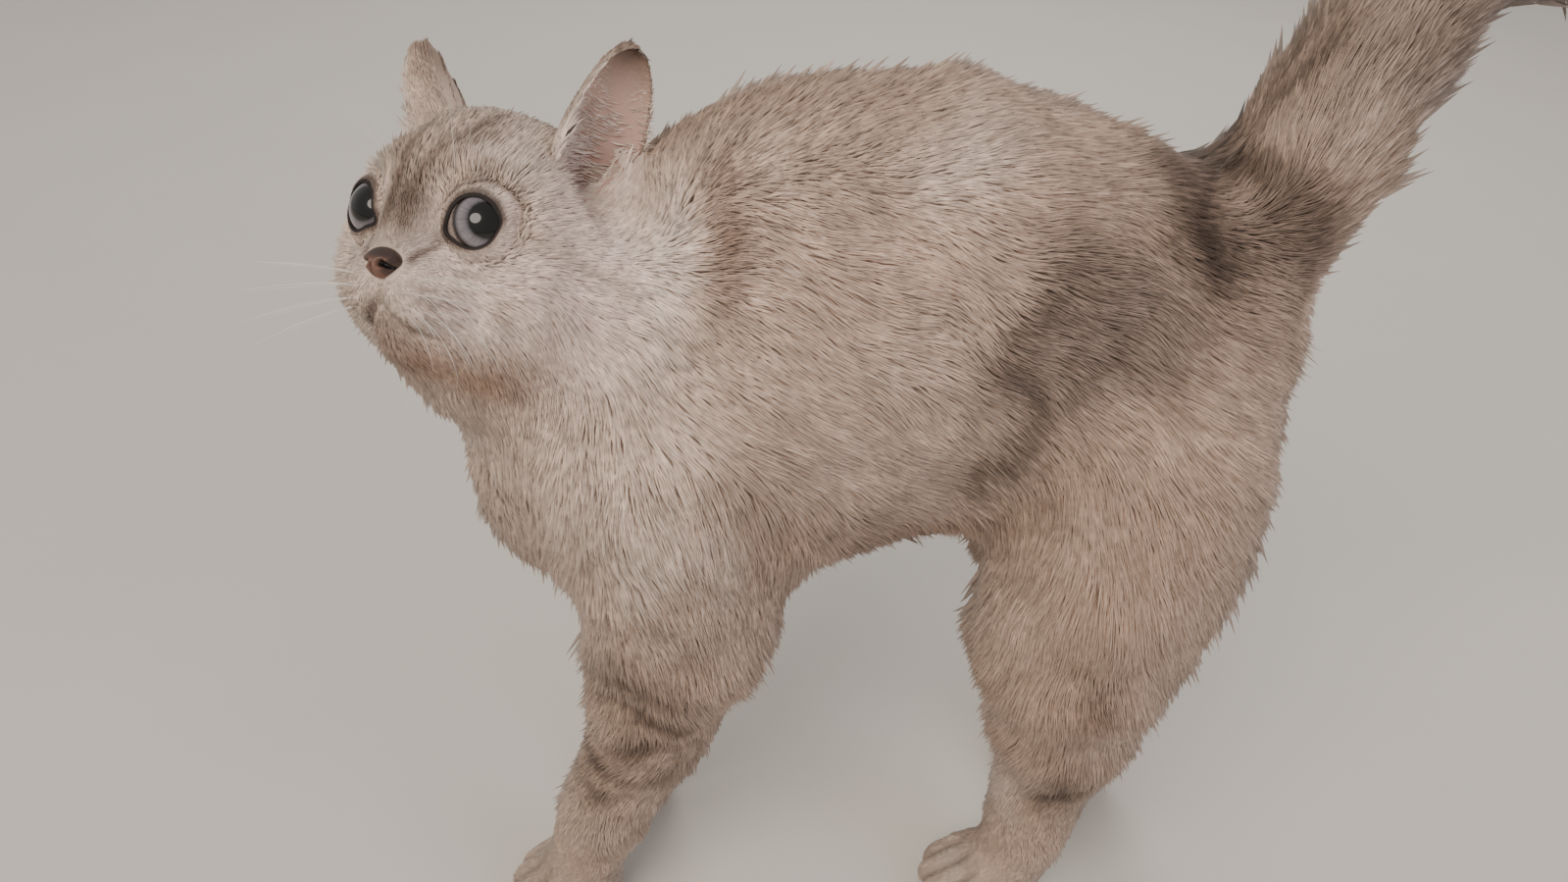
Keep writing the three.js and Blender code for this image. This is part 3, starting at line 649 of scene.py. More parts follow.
# Each patch: its middle (x, distance from the middle plane, z) and its reach along each, in millimetres,
# its colour and its strength.
PATCHES = [
    ((-150, 25, 265), (62, 60, 75), "#e5d0c3", 0.95),  # ruff and breast
    ((-118, 62, 275), (30, 40, 45), "#d6bfb0", 0.6),  # shoulder
    ((-125, 67, 215), (26, 34, 32), "#ecdacd", 0.85),  # upper arm
    ((-90, 40, 200), (40, 60, 40), "#cfb8a8", 0.5),
    ((-49, 34, 326), (18, 26, 15), "#dccabd", 0.65),  # pale flank under the spine
    ((-54, 58, 270), (24, 34, 28), "#d5c0b2", 0.65),
    ((-100, 60, 232), (8, 30, 30), "#a48a7a", 0.5),  # painted shade in the fold behind the shoulder
    ((-112, 0, 328), (40, 26, 20), "#98806f", 0.8),  # nape
    ((-20, 0, 345), (80, 17, 22), "#957b6a", 0.75),  # spine
    ((20, 30, 306), (26, 26, 14), "#8c7769", 0.65),  # hip
    ((2, 50, 294), (20, 30, 11), "#6f6159", 0.75),  # haunch: the dark band's top
    ((-18, 55, 283), (13, 30, 14), "#5c4f48", 0.85),
    ((-27, 56, 259), (11, 30, 19), "#4f433c", 0.9),
    ((-30, 54, 231), (8, 30, 17), "#4f433c", 0.85),  # the fold before the thigh: the dark band, deepened with painted shade
    ((10, 48, 278), (24, 30, 17), "#74675f", 0.8),  # the grey behind it
    ((-4, 52, 262), (16, 30, 16), "#7f7067", 0.65),
    ((36, 42, 287), (20, 30, 15), "#817065", 0.6),
    ((33, 20, 318), (20, 30, 16), "#7c685b", 0.7),  # rump before the tail
    ((33, 14, 318), (16, 26, 13), "#2b211c", 0.9),
    ((43, 16, 312), (20, 30, 17), "#1f1713", 0.95),  # root of the tail
    ((57, 26, 303), (10, 20, 13), "#473b34", 0.8),
    ((66, 28, 290), (10, 20, 10), "#5b4c43", 0.6),
    ((-24, 60, 190), (20, 30, 36), "#d3bead", 0.5),  # front of the thigh
    ((22, 60, 200), (32, 30, 44), "#c9b2a2", 0.5),
    ((20, 66, 146), (9, 22, 18), "#6b574b", 0.75),  # back of the shank, low down
    ((82, 20, 346), (20, 30, 20), "#92847b", 0.8),  # tail
    ((110, 15, 372), (45, 40, 26), "#7b6e66", 0.85),
    ((190, 15, 385), (60, 40, 50), "#7b6e66", 0.75),
    ((74, 25, 325), (12, 20, 12), "#bdaaa0", 0.6),  # its pale side
    ((60, 0, 346), (13, 9, 22), "#4e4139", 0.85),  # its dark front edge
    ((88, 0, 388), (26, 10, 14), "#5a4c44", 0.75),
    ((-134, 56, 174), (26, 30, 6), "#a08a7c", 0.5),  # bars of the foreleg
    ((-136, 55, 153), (24, 30, 6), "#5d4b41", 0.8),
    ((-127, 54, 134), (24, 30, 6.5), "#4f3e36", 0.85),
    ((-138, 50, 116), (22, 30, 6), "#4f3e36", 0.85),
    ((-146, 44, 99), (22, 30, 6.5), "#443530", 0.9),
    ((-150, 42, 83), (20, 30, 5), "#5f4e45", 0.8),
    ((22, 56, 90), (13, 20, 9), "#2f231c", 0.9),  # foot
    ((30, 56, 103), (12, 20, 9), "#2f231c", 0.9),
    ((10, 45, 76), (7, 24, 20), "#ddcdc2", 0.65),  # its pale stripe
    ((48, 45, 97), (8, 24, 8), "#b08c7c", 0.5),  # heel
    ((-62, 30, 204), (46, 34, 16), "#a08371", 0.65),  # belly: painted shade under the body
    ((-168, 30, 16), (30, 24, 17), "#bdada2", 0.8),  # paws: whitish, painted greyer as shade under the body, the fore paws most
    ((-141, 32, 16), (30, 24, 17), "#bdada2", 0.8),
    ((4, 33, 14), (28, 24, 18), "#c9bbb1", 0.8),
    ((56, 33, 14), (28, 24, 18), "#cdbfb5", 0.8),
    ((-152, 30, 64), (20, 24, 13), "#cdbdb1", 0.6),  # wrist
]


def mottle(points, size, seed):
    """A smooth random field from about -1 to 1 whose spots are about size metres wide."""
    draw = np.random.default_rng(seed)
    waves = unit(draw.normal(size=(16, 3))) * draw.uniform(0.7, 1.5, (16, 1)) * math.pi / size
    return np.sin(points @ waves.T + draw.uniform(0, 2 * math.pi, 16)).sum(1) / 3.2


# On the head, in its own axes: the same for spots, then lines through stations with their width.
FACE_PATCHES = [
    ((30, 14, -14), (26, 26, 24), "#e7d4ca", 0.85),  # muzzle and cheeks
    ((8, 46, -8), (20, 18, 26), "#efdcd2", 0.8),
    ((18, 20, 24), (16, 14, 12), "#d9cabf", 0.6),
    ((24, 4, 32), (12, 13, 8), "#b09c8f", 0.55),  # crown
    ((5, 14, 40), (9, 8, 7), "#a08b7e", 0.5),
    ((38, 3, 9), (9, 5.5, 12), "#33261f", 0.85),  # between the eyes: a dark stripe, with painted shade beside the bridge
    ((43.5, 0, -22), (4, 2.6, 2.6), "#3a2823", 0.9),  # middle of the mouth
    ((40, 0, -29), (7, 9, 6), "#8b6b59", 0.8),  # chin
    ((31, 6, -37), (10, 13, 7), "#98735a", 0.75),
    ((1, 62, -2), (9, 6, 24), "#f2e6de", 0.6),  # edge of the ruff
    ((-4, 77, 9), (8, 7.5, 22), "#8f7566", 0.85),  # behind the ruff
    ((-6, 72, 29), (9, 9, 12), "#88705f", 0.8),
    ((-24, 48, 34), (15, 18, 15), "#937868", 0.75),  # nape
    ((19, 20, -38), (13, 15, 8), "#9c7962", 0.75),  # throat
    ((33, 21, -7), (5, 7, 3), "#b09d92", 0.5),  # under the eye
    ((28, 28, -19), (5, 5, 4), "#bda799", 0.5),
    ((-16, 45, 37), (9, 9, 12), "#9d8473", 0.7),  # behind the ear
    ((-6, 39, 62), (11, 9, 9), "#6f594d", 0.85),  # tip of the ear
    ((-13, 41, 50), (5, 6, 14), "#8a7263", 0.6),
]
FACE_LINES = [
    ([(41, 4.6, 2), (40, 3.6, 9), (37, 4.5, 18), (31, 6, 26), (23, 8.5, 33), (14, 10, 39)],
     2.1, "#6c5a50", 0.8),
    ([(33, 11, 19), (27, 10.5, 28), (21, 15, 33)], 2.0, "#806c60", 0.6),
    ([(36, 17, 16), (32, 20, 19), (27, 23, 20)], 1.6, "#96836f", 0.35),
    ([(35, 11.5, 0), (38, 10.2, -3), (41, 8.2, -6.5)], 1.3, "#4c352d", 0.85),  # from the eye's inner corner: a tear line, with painted shade of the fold
    ([(20, 33, 3), (12, 42, -2), (2, 50, -6)], 2.6, "#a99586", 0.45),
    ([(43, 6, -13.5), (40.7, 13.9, -13.7), (36, 19, -14)], 0.7, "#917b6f", 0.55),  # rows of whiskers
    ([(43, 6.5, -17), (41.4, 13.4, -17.4), (36, 20, -18)], 0.7, "#917b6f", 0.55),
    ([(42, 7, -20.5), (39.8, 12.6, -22), (35, 19, -22.5)], 0.7, "#917b6f", 0.55),
    ([(44, 0, -20.5), (41, 4.5, -25), (38, 7.5, -27.5)], 1.7, "#3a2823", 0.95),
    ([(38, 7.5, -27.5), (32, 14, -29)], 1.3, "#6a5148", 0.7),
]
FACE_LINES = [(laid(line), width, shade, strength) for line, width, shade, strength in FACE_LINES]


def tinted(colours, shade, share):
    """Colours drawn towards a hex one by a share for each point."""
    return colours + (linear(shade) - colours) * share[:, None]


def markings(points):
    """The coat's linear colour at each point of the skin."""
    shift = np.stack([mottle(points, 0.02, seed) for seed in (3, 4, 5)], 1)
    colour = np.tile(linear(BEIGE), (len(points), 1))
    head_place = in_half_head(points)
    for places, spots, wander in ((both_sides(points / MM), PATCHES, 5), (head_place, FACE_PATCHES, 1.2)):
        shifted = places + shift * wander
        for middle, reach, shade, strength in spots:
            colour = tinted(colour, shade, strength * blob(shifted, middle, reach))
    for line, width, shade, strength in FACE_LINES:
        off, _ = from_line(head_place + shift * 0.5, line)
        colour = tinted(colour, shade, strength * bell(off, width))
    return colour


# ---------------------------------------------------------------- skin, coloured
# The hide takes the coat's marks, with dark bare rims to the lids, dark lips, pink inside the ears, and
# painted shade.
# Living hide is soft and nearly matt. Its pores, drawn coarser than life so that they show, break it up.
PORES, PORE_DEPTH = 0.7 / MM, 0.3 * MM  # one in 1.4 mm
skin_hide, tree, shader = new_material("soft_hide")
hue = add_node(tree, "ShaderNodeAttribute", attribute_name="coat")
place = add_node(tree, "ShaderNodeTexCoord").outputs["Object"]
pores = add_node(tree, "ShaderNodeTexNoise", {"Vector": place, "Scale": PORES, "Detail": 3.0})
bump = add_node(tree, "ShaderNodeBump", {"Height": pores.outputs["Fac"], "Distance": PORE_DEPTH})
join(tree, shader, {"Base Color": hue.outputs["Color"], "Normal": bump.outputs["Normal"], "Roughness": 0.75})


def store(mesh, name, values):
    """Stores a number, a direction or a colour for each point of a mesh, by how many columns there are."""
    columns = 1 if values.ndim == 1 else values.shape[1]
    kind, field = {1: ("FLOAT", "value"), 3: ("FLOAT_VECTOR", "vector"), 4: ("FLOAT_COLOR", "color")}[columns]
    mesh.attributes.new(name, kind, "POINT").data.foreach_set(field, values.astype(np.float32).ravel())


def paint(piece, colours):
    """Stores a linear colour for each point of a piece, which its material reads."""
    store(piece.data, "coat", np.concatenate([colours, np.ones((len(colours), 1))], 1))


CORNER_DARK, CORNER_WIDE = 0.8, 30  # degrees


def lid_shade_and_tear(around):
    """How far the lids' darks reach further: above the eye as painted upper-lid shade, and at the inner
    corner.
    """
    at_corner = bell(around - INNER_CORNER[0], CORNER_WIDE)
    return np.maximum(np.sin(np.radians(around)), 0) + CORNER_DARK * at_corner


UNDER_COAT_SHADE = 0.96  # the skin's tone, as a share of the fur's: a little darker, as painted shade under the coat
# The lids' colours, how many degrees beyond the rim each reaches, and how many more where it is dark.
# First a brown painted shade round the eye, then the dark bare rim; above the eye both reach further, as
# painted shade.
LID_SHADE_AND_RIM = [("#8a7165", 5, 8), ("#1b1210", 3.5, 5.5)]
ON_EYE = 3  # how far off the eyeball the lids' colours go
CLEFT_SHADE = 0.45
INNER_EAR, INNER_EAR_SHADE = "#c6a297", "#94695d"
LIPS = "#3b2722"
colours = markings(skin_points) * UNDER_COAT_SHADE
on_head, on_lid, on_ear = (part_of == name for name in ("head", "lid", "ear"))
beyond, off_eye, around = beyond_rim(skin_points)
for shade, least, more in LID_SHADE_AND_RIM:
    share = smoothstep(1.3, 0.7, beyond / (least + more * lid_shade_and_tear(around))) * (off_eye < EYE_RADIUS + ON_EYE)
    colours = tinted(colours, shade, share * (on_lid | (beyond < 25)))
off_lip, along_lip = from_line(in_half_head(skin_points), LIP_LINE)
share = smoothstep(1.3, 0.5, off_lip) * smoothstep(0.12, 0.24, along_lip) * on_head
colours = tinted(colours, LIPS, share)
spread, rise, inside = shell_marks.T * on_ear
bare_ear = np.maximum(inside * smoothstep(1.0, 0.8, np.abs(spread)) * smoothstep(0.95, 0.5, rise), bowl_share)
colours = tinted(colours, INNER_EAR, 0.85 * bare_ear)
# Painted shade deep in the ear's hollow, at the foot of its middle.
deep = bare_ear * bell(spread, 0.4) * smoothstep(0.3, 0.0, rise) * on_ear
colours = tinted(colours, INNER_EAR_SHADE, 0.8 * deep)
# Painted shade in the clefts between the toes.
colours *= (1 - CLEFT_SHADE * cleft_share(skin_points, CLEFT_WIDTH) * np.isin(part_of, PAWED))[:, None]
skin = new_object("skin", skin_points, skin_triangles, skin_hide)
paint(skin, colours)
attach(skin, RIDES_ON)
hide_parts(*FLESH, "ear_left", "ear_right")

# ---------------------------------------------------------------- coat
# Dense, plush double fur in locks: each lock springs from the skin, bends over and runs to a point, and
# neighbours lean together. It lies backwards from the nose, down the legs and out along the tail.
RANDOM = np.random.default_rng(11)
COAT["lid"] = (0, 1.1, 0.17, 12, 9, (0, 0, 0))
COAT["ear"] = (0, 3.2, 0.27, 3.6, 13, (0, 0, 1))
fields = {
    name: np.array([COAT[part][column] for part in part_of], float)
    for column, name in enumerate(("long", "wide", "dense", "lift"), 1)
}
place = in_head(skin_points)
mirrored = both_sides(place)
off_nose = np.linalg.norm(place - NOSE_TIP, axis=1)

# On the face the coat is short by the nose, the eyes and the lips, and on the lids by their rims.
FACE_COAT = [("long", 1.3, 6.0), ("wide", 0.19, 0.34), ("dense", 5.0, 3.0), ("lift", 13, 24)]
LID_COAT = [("long", 1.0, 3.4), ("wide", 0.17, 0.3), ("dense", 11, 4.6), ("lift", 9, 17)]
FACE_EVENED = 8  # rounds
face_share = face_at(part_of, place)
full = smoothstep(2, 30, off_nose) * smoothstep(-4, 34, beyond) * smoothstep(-2, 7, off_lip)
for name, least, most in FACE_COAT:
    on_face = least + (most - least) * full
    fields[name] = evened(fields[name] + (on_face - fields[name]) * face_share, skin_edges, FACE_EVENED)[:, 0]
for name, least, most in LID_COAT:
    fields[name][on_lid] = least + (most - least) * smoothstep(2, 15, beyond[on_lid])

# Inside the ears the hair is long, fine and sparse, and springs from the front edge.
ear_inside = on_ear & (shell_marks[:, 2] > 0.5)
in_bowl = bowl_share > 0.45
fields["long"][ear_inside] = 9 - 6 * smoothstep(0.1, 0.9, shell_marks[ear_inside, 1])
fields["dense"][ear_inside] = 0.7 + 1.1 * smoothstep(0.2, -0.8, shell_marks[ear_inside, 0])
for here, values in ((ear_inside, {"wide": 0.17, "lift": 10}),
                     (in_bowl, {"long": 6.0, "wide": 0.17, "dense": 0.5, "lift": 12})):
    for name, value in values.items():
        fields[name][here] = value

# Which way it lies: back from the nose, away from the lids all round, up the ears.
way = np.array([COAT[part][5] for part in part_of], float)
looks = eye_axes(1, *EYE_OPENS)[0]
from_nose = unit(place - NOSE_TIP)
round_eye = mirrored - EYE_AT
round_eye -= (round_eye @ looks)[:, None] * looks
round_eye = unit(round_eye * np.where(place[:, 1:2] > 0, 1, (1, -1, 1)))
by_eye = 1.6 * smoothstep(20, 13, off_eye)
way[on_head] = (from_nose + round_eye * by_eye[:, None])[on_head] @ head_axes
way[on_lid] = (round_eye * 1.5 + from_nose)[on_lid] @ head_axes
for side in (1, -1):
    up, _, across = ear_axes(side)
    on_side = place[:, 1] * side > 0
    for here, lies in ((on_ear, up), (on_ear & ear_inside, across + 0.25 * up), (in_bowl, across + 0.6 * up)):
        way[here & on_side] = lies * (1, side, 1) @ head_axes
on_neck = part_of == "neck"
way[on_neck] = unit(skin_points[on_neck] - head_middle) + (0.3, 0, -0.5)
WAY_EVENED = 20  # rounds
way = evened(unit(way), skin_edges, WAY_EVENED)


def along_skin(ways, normals):
    """Ways laid flat on the skin."""
    return unit(ways - (ways * normals).sum(1)[:, None] * normals)


# The atlas: each part's faces are laid out by the side they face, at one scale, in rows.
ATLAS = 0.62  # the atlas's width in metres of skin
MARGIN = 2 * MM
corner_points = skin_points[triangles]
across = np.cross(corner_points[:, 1] - corner_points[:, 0], corner_points[:, 2] - corner_points[:, 0])
areas = np.linalg.norm(across, axis=1) / 2 / MM**2
facing = np.abs(across).argmax(1)
side = facing * 2 + (np.take_along_axis(across, facing[:, None], 1)[:, 0] > 0)
kinds = list(COAT)
left_half = corner_points[:, :, 1].mean(1) < 0
chart = (np.array([kinds.index(part_of[corner]) for corner in triangles[:, 0]]) * 6 + side) * 2 + left_half
flat_axes = np.array([(1, 2), (0, 2), (0, 1)])[facing]
flat = np.take_along_axis(corner_points, np.repeat(flat_axes[:, None], 3, 1), 2)
charts, chart = np.unique(chart, return_inverse=True)
lows = np.full((len(charts), 2), np.inf)
highs = -lows
np.minimum.at(lows, chart, flat.min(1))
np.maximum.at(highs, chart, flat.max(1))
spans = highs - lows + 2 * MARGIN
corner_at = np.zeros_like(spans)
x = y = shelf = 0
for number in np.argsort(-spans[:, 1]):
    if x + spans[number, 0] > ATLAS:
        x, y, shelf = 0, y + shelf, 0
    corner_at[number] = x, y
    x += spans[number, 0]
    shelf = max(shelf, spans[number, 1])
atlas_size = max(ATLAS, y + shelf)

# Nothing grows on the lids' rims, under the nose's leather, in the lips or where one skin is under another.
BARE_NOSE = (6.5, 5.6, 4.4)  # how far round the leather's middle: ahead, aside and up
BARE_LIPS = 0.8
BARE_BY_RIM, BARE_OFF_EYE = 3, 2.5  # the face under the lids: degrees beyond the rim, and off the eyeball
COVERED = 0.6 * MM  # how far under the other
bare = on_lid & ((shell_marks[:, 0] < 4) | (shell_marks[:, 0] > 11))
bare |= (((mirrored - NOSE_AT) / BARE_NOSE) ** 2).sum(1) < 1
bare |= (off_lip < BARE_LIPS) & on_head
bare |= on_head & (beyond < BARE_BY_RIM) & (off_eye < EYE_RADIUS + BARE_OFF_EYE)
for number in np.flatnonzero(on_lid | on_ear):
    near, looks, _, _ = under_fur.find_nearest(Vector(skin_points[number]))
    bare[number] |= (Vector(skin_points[number]) - near).dot(looks) < -COVERED
fields["dense"][bare] = 0

# Roots, spread over the skin by how dense the coat is there.
weights = areas * fields["dense"][triangles].mean(1) * ~bare[triangles].any(1)
count = min(int(weights.sum()), MOST_LOCKS)
steps = (np.arange(count) + RANDOM.random(count)) * weights.sum() / count
picks = np.minimum(np.searchsorted(np.cumsum(weights), steps), len(triangles) - 1)
mix = RANDOM.random((count, 2))
mix = np.where(mix.sum(1, keepdims=True) > 1, 1 - mix, mix)
mix = np.concatenate([1 - mix.sum(1, keepdims=True), mix], 1)


def at_roots(values):
    """Values at the skin's points, worked out at each root."""
    return np.einsum("nc,nc...->n...", mix, values[triangles[picks]])


roots = at_roots(skin_points)
ups = unit(at_roots(skin_normals))
ways = along_skin(at_roots(way), ups)
long, wide, lift = (at_roots(fields[name]) for name in ("long", "wide", "lift"))
in_chart = np.take_along_axis(roots, flat_axes[picks], 1) - lows[chart[picks]]
uv = (corner_at[chart[picks]] + MARGIN + in_chart) / atlas_size
part_at_root = part_of[triangles[picks, 0]]

# No two locks are alike: they turn from the lie, differ in length and lift, and a few stray from the coat.
TURN, TURN_ALONE = 0.28, 0.12  # radians that the lie wanders, and that each lock does
SHORTEST, LONGEST = 0.78, 1.15
LOWEST, HIGHEST = 0.75, 1.25
STRAYS, STRAY_FROM = 0.03, 6  # how many stray, of those that are longer than this
STRAY_LONG, STRAY_WIDE, STRAY_LIFT = 1.25, 0.6, math.radians(10)
turn = TURN * (mottle(roots, 0.045, 7) + 0.6 * mottle(roots, 0.014, 8)) + RANDOM.normal(0, TURN_ALONE, count)
ways = ways * np.cos(turn)[:, None] + np.cross(ups, ways) * np.sin(turn)[:, None]
long *= RANDOM.uniform(SHORTEST, LONGEST, count) * (1 + 0.12 * mottle(roots, 0.02, 9))
lift = np.radians(lift * RANDOM.uniform(LOWEST, HIGHEST, count) * (1 + 0.18 * mottle(roots, 0.016, 10)))
stray = (RANDOM.random(count) < STRAYS) & (long > STRAY_FROM)
long[stray] *= STRAY_LONG
wide[stray] *= STRAY_WIDE
lift[stray] += STRAY_LIFT
BEND = math.radians(11)
MIDDLE = 0.42  # where along its length a lock is widest and bends over


def towards(angle):
    """The direction that lifts off the skin by angle."""
    return ways * np.cos(angle)[:, None] + ups * np.sin(angle)[:, None]


middles = roots + towards(lift + BEND) * (long * MIDDLE * MM)[:, None]
tips = middles + towards(lift - BEND * 0.7) * (long * (1 - MIDDLE) * MM)[:, None]

# Locks lean towards the leader of their clump.
LEADERS = 12  # one lock in so many leads
LEAST_LEAN, MOST_LEAN, MIDDLE_LEAN = 0.1, 0.5, 0.35
leads = np.arange(0, count, LEADERS)
clumps = finder(roots[leads])
leader = leads[[clumps.find(root)[1] for root in roots]]
lean = RANDOM.uniform(LEAST_LEAN, MOST_LEAN, count)[:, None]
tips += (tips[leader] - tips) * lean
middles += (middles[leader] - middles) * lean * MIDDLE_LEAN
starts = roots - ups * (np.minimum(0.8, 0.2 + long * 0.08) * MM)[:, None]

# Colour: roots are painted darker, as shade deep in the coat, some tips are pale, and each clump has its own
# tone.
FUR_BY_LIDS, FUR_IN_EARS, FUR_ON_EAR_EDGES = "#3c2c27", "#e4d0c5", "#d9c8bd"
# Painted shade deep in the coat: how bright each lock is at its root and its middle.
ROOT_SHADE, MIDDLE_SHADE = 0.92, 0.99
PALE_TIPS = 0.3
base = markings(roots)
beyond_at, off_at, around = beyond_rim(roots)
# Dark fur by the lids' rims, reaching further above the eye as painted shade of the upper lid.
rim_share = smoothstep(1.5, 0.6, beyond_at / (4 + 7 * lid_shade_and_tear(around))) * (off_at < EYE_RADIUS + ON_EYE)
base = tinted(base, FUR_BY_LIDS, 0.8 * rim_share)
# Painted shade in the clefts between the toes.
base *= (1 - 0.4 * cleft_share(roots, 1.5) * np.isin(part_at_root, PAWED))[:, None]
in_ear = at_roots(np.maximum(ear_inside * smoothstep(0.95, 0.6, shell_marks[:, 1]), in_bowl))
base = tinted(base, FUR_IN_EARS, 0.85 * in_ear)
at_edge = smoothstep(0.78, 0.95, np.abs(shell_marks[:, 0])) * smoothstep(0.95, 0.75, shell_marks[:, 1])
base = tinted(base, FUR_ON_EAR_EDGES, 0.6 * at_roots(on_ear * at_edge))
tone = RANDOM.normal(1, 0.07, count) * RANDOM.normal(1, 0.05, count)[leader]
tone *= 1 + 0.06 * mottle(roots, 0.006, 12) + 0.05 * mottle(roots, 0.018, 13)
dark = 1 - np.clip(base.mean(1) / linear(BEIGE).mean(), 0, 1)
pale_tip = np.where(RANDOM.random(count) < PALE_TIPS, 1.22 + 1.3 * dark, 1.02 + 0.25 * dark)

# In the ears the hair is so fine that it takes the light of the whole opening.
opening = np.where(roots @ head_axes[1] > head_middle @ head_axes[1], 1, -1)[:, None] * head_axes[1]
ups = unit(ups + in_ear[:, None] * (1.2 * head_axes[0] + 0.8 * opening))

# A lock's four points: its root, the two sides of its middle, and its tip.
OFF_FLOOR = 0.1 * MM
LOCK_FACES = np.array([(0, 1, 2), (3, 2, 1), (0, 3, 1), (0, 2, 3)])
PATCH = 0.003  # width in the map of the patch that a lock's faces share
LOCK_MAP = (np.array([(0, 0), (1, 0), (0.5, 1)]) - 0.5) * PATCH
along = unit(tips - starts)
beside = unit(np.cross(along, ups))
half = (wide * MM / 2)[:, None]
lock_points = np.stack([starts, middles + beside * half, middles - beside * half, tips], 1)
lock_points[:, :, 2] = np.maximum(lock_points[:, :, 2], OFF_FLOOR)
lock_normals = [ups, unit(ups + beside * 0.35), unit(ups - beside * 0.35), unit(ups + along * 0.4)]
lock_normals = np.stack(lock_normals, 1)
root_shade, middle_shade = np.full(count, ROOT_SHADE), np.full(count, MIDDLE_SHADE)
lock_shades = np.stack([root_shade, middle_shade, middle_shade, pale_tip], 1)
lock_colours = (base * tone[:, None])[:, None] * lock_shades[:, :, None]

def uneven(tree, colour, noise, least, most):
    """A colour made darker and paler by a noise, between least and most times as bright."""
    links = {"Value": noise, "From Min": 0.3, "From Max": 0.7, "To Min": least, "To Max": most}
    factor = add_node(tree, "ShaderNodeMapRange", links).outputs["Result"]
    return add_node(tree, "ShaderNodeVectorMath", {0: colour, "Scale": factor}, operation="SCALE").outputs[0]


# Plush fur is dry and fine, with a broad soft sheen, and each hair is banded darker and paler: its ticking.
TICKING = 0.42 / MM  # one band in 2.4 mm
fur, tree, shader = new_material("plush_fur")
hue = add_node(tree, "ShaderNodeAttribute", attribute_name="coat").outputs["Color"]
place = add_node(tree, "ShaderNodeTexCoord").outputs["Object"]
ticking = add_node(tree, "ShaderNodeTexNoise", {"Vector": place, "Scale": TICKING, "Detail": 2.0})
join(tree, shader, {
    "Base Color": uneven(tree, hue, ticking.outputs["Fac"], 0.86, 1.12), "Roughness": 0.6,
    "Specular IOR Level": 0.25, "Sheen Weight": 0.15, "Sheen Roughness": 0.4,
})


def grow(name, chosen):
    """One piece of coat from the chosen locks."""
    number = chosen.sum()
    faces = (LOCK_FACES + np.arange(number)[:, None, None] * 4).reshape(-1, 3)
    piece = new_object(name, lock_points[chosen].reshape(-1, 3), faces, fur)
    paint(piece, lock_colours[chosen].reshape(-1, 3))
    piece.data.normals_split_custom_set_from_vertices(lock_normals[chosen].reshape(-1, 3).tolist())
    layer = piece.data.uv_layers.new(name="OFBake")
    spread = np.tile(LOCK_MAP, (len(LOCK_FACES), 1))[None] + uv[chosen][:, None]
    layer.data.foreach_set("uv", spread.astype(np.float32).ravel())
    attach(piece, RIDES_ON)


MOST_IN_PIECE = 48000
for kind in kinds:
    of_kind = part_at_root == kind
    pieces = math.ceil(of_kind.sum() / MOST_IN_PIECE)
    numbers = np.cumsum(of_kind) - 1
    for piece_number in range(pieces):
        grow(f"coat_{kind}_{piece_number + 1}", of_kind & (numbers % pieces == piece_number))

# ---------------------------------------------------------------- eyes
# Each eyeball is a wet, glass-clear ball with a round pupil, wide open in weak light, and an iris of pale
# grey with a dark edge. It sits in the lids. Both look to the cat's left, the left one further round.
GAZE = {"left": (45, 9), "right": (-4, 8)}  # degrees outwards and up
CORNEA_BULGE, CORNEA_HALF = 0.5, 30  # millimetres, degrees
# Colours by degrees from the middle of the pupil, out over the iris and its dark edge to the white.
EYE_BANDS = [
    (0, "#040303"), (27, "#050404"), (28.5, "#1c1b1d"), (30, "#48454a"), (35, "#716b71"), (46, "#837d82"),
    (51, "#625d60"), (54, "#262323"), (58, "#433b38"), (63, "#988a83"), (90, "#8f7b74"),
]
BANDS_END = 90
# The iris's fibres: how far from the eye's axis their middles are, and how wide one is. Their noise is read
# round a cylinder, which has a radius and a rise for each degree.
FIBRES_OFF, FIBRE_WIDE = 6.66, 0.37
FIBRE_REACH, FIBRE_DRIFT = 2, 0.004
FIBRES = FIBRES_OFF / FIBRE_WIDE / FIBRE_REACH


def globe(rows, steps):
    """Directions over a ball whose poles lie along x, and the triangles between them."""
    polar, around = np.meshgrid(
        np.linspace(0, math.pi, rows + 1)[1:-1], np.arange(steps) * 2 * math.pi / steps, indexing="ij"
    )
    sides = np.stack([np.cos(polar), np.sin(polar) * np.cos(around), np.sin(polar) * np.sin(around)], -1)
    directions = np.concatenate([[(1, 0, 0)], sides.reshape(-1, 3), [(-1, 0, 0)]])
    number = np.arange((rows - 1) * steps).reshape(rows - 1, steps) + 1
    on = np.roll(number, -1, 1)
    cells = np.stack([number[:-1], number[1:], on[1:], on[:-1]], -1).reshape(-1, 4)
    front = np.stack([np.zeros(steps, int), number[0], on[0]], 1)
    back = np.stack([np.full(steps, len(directions) - 1), on[-1], number[-1]], 1)
    return directions, np.concatenate([halved(cells), front, back])


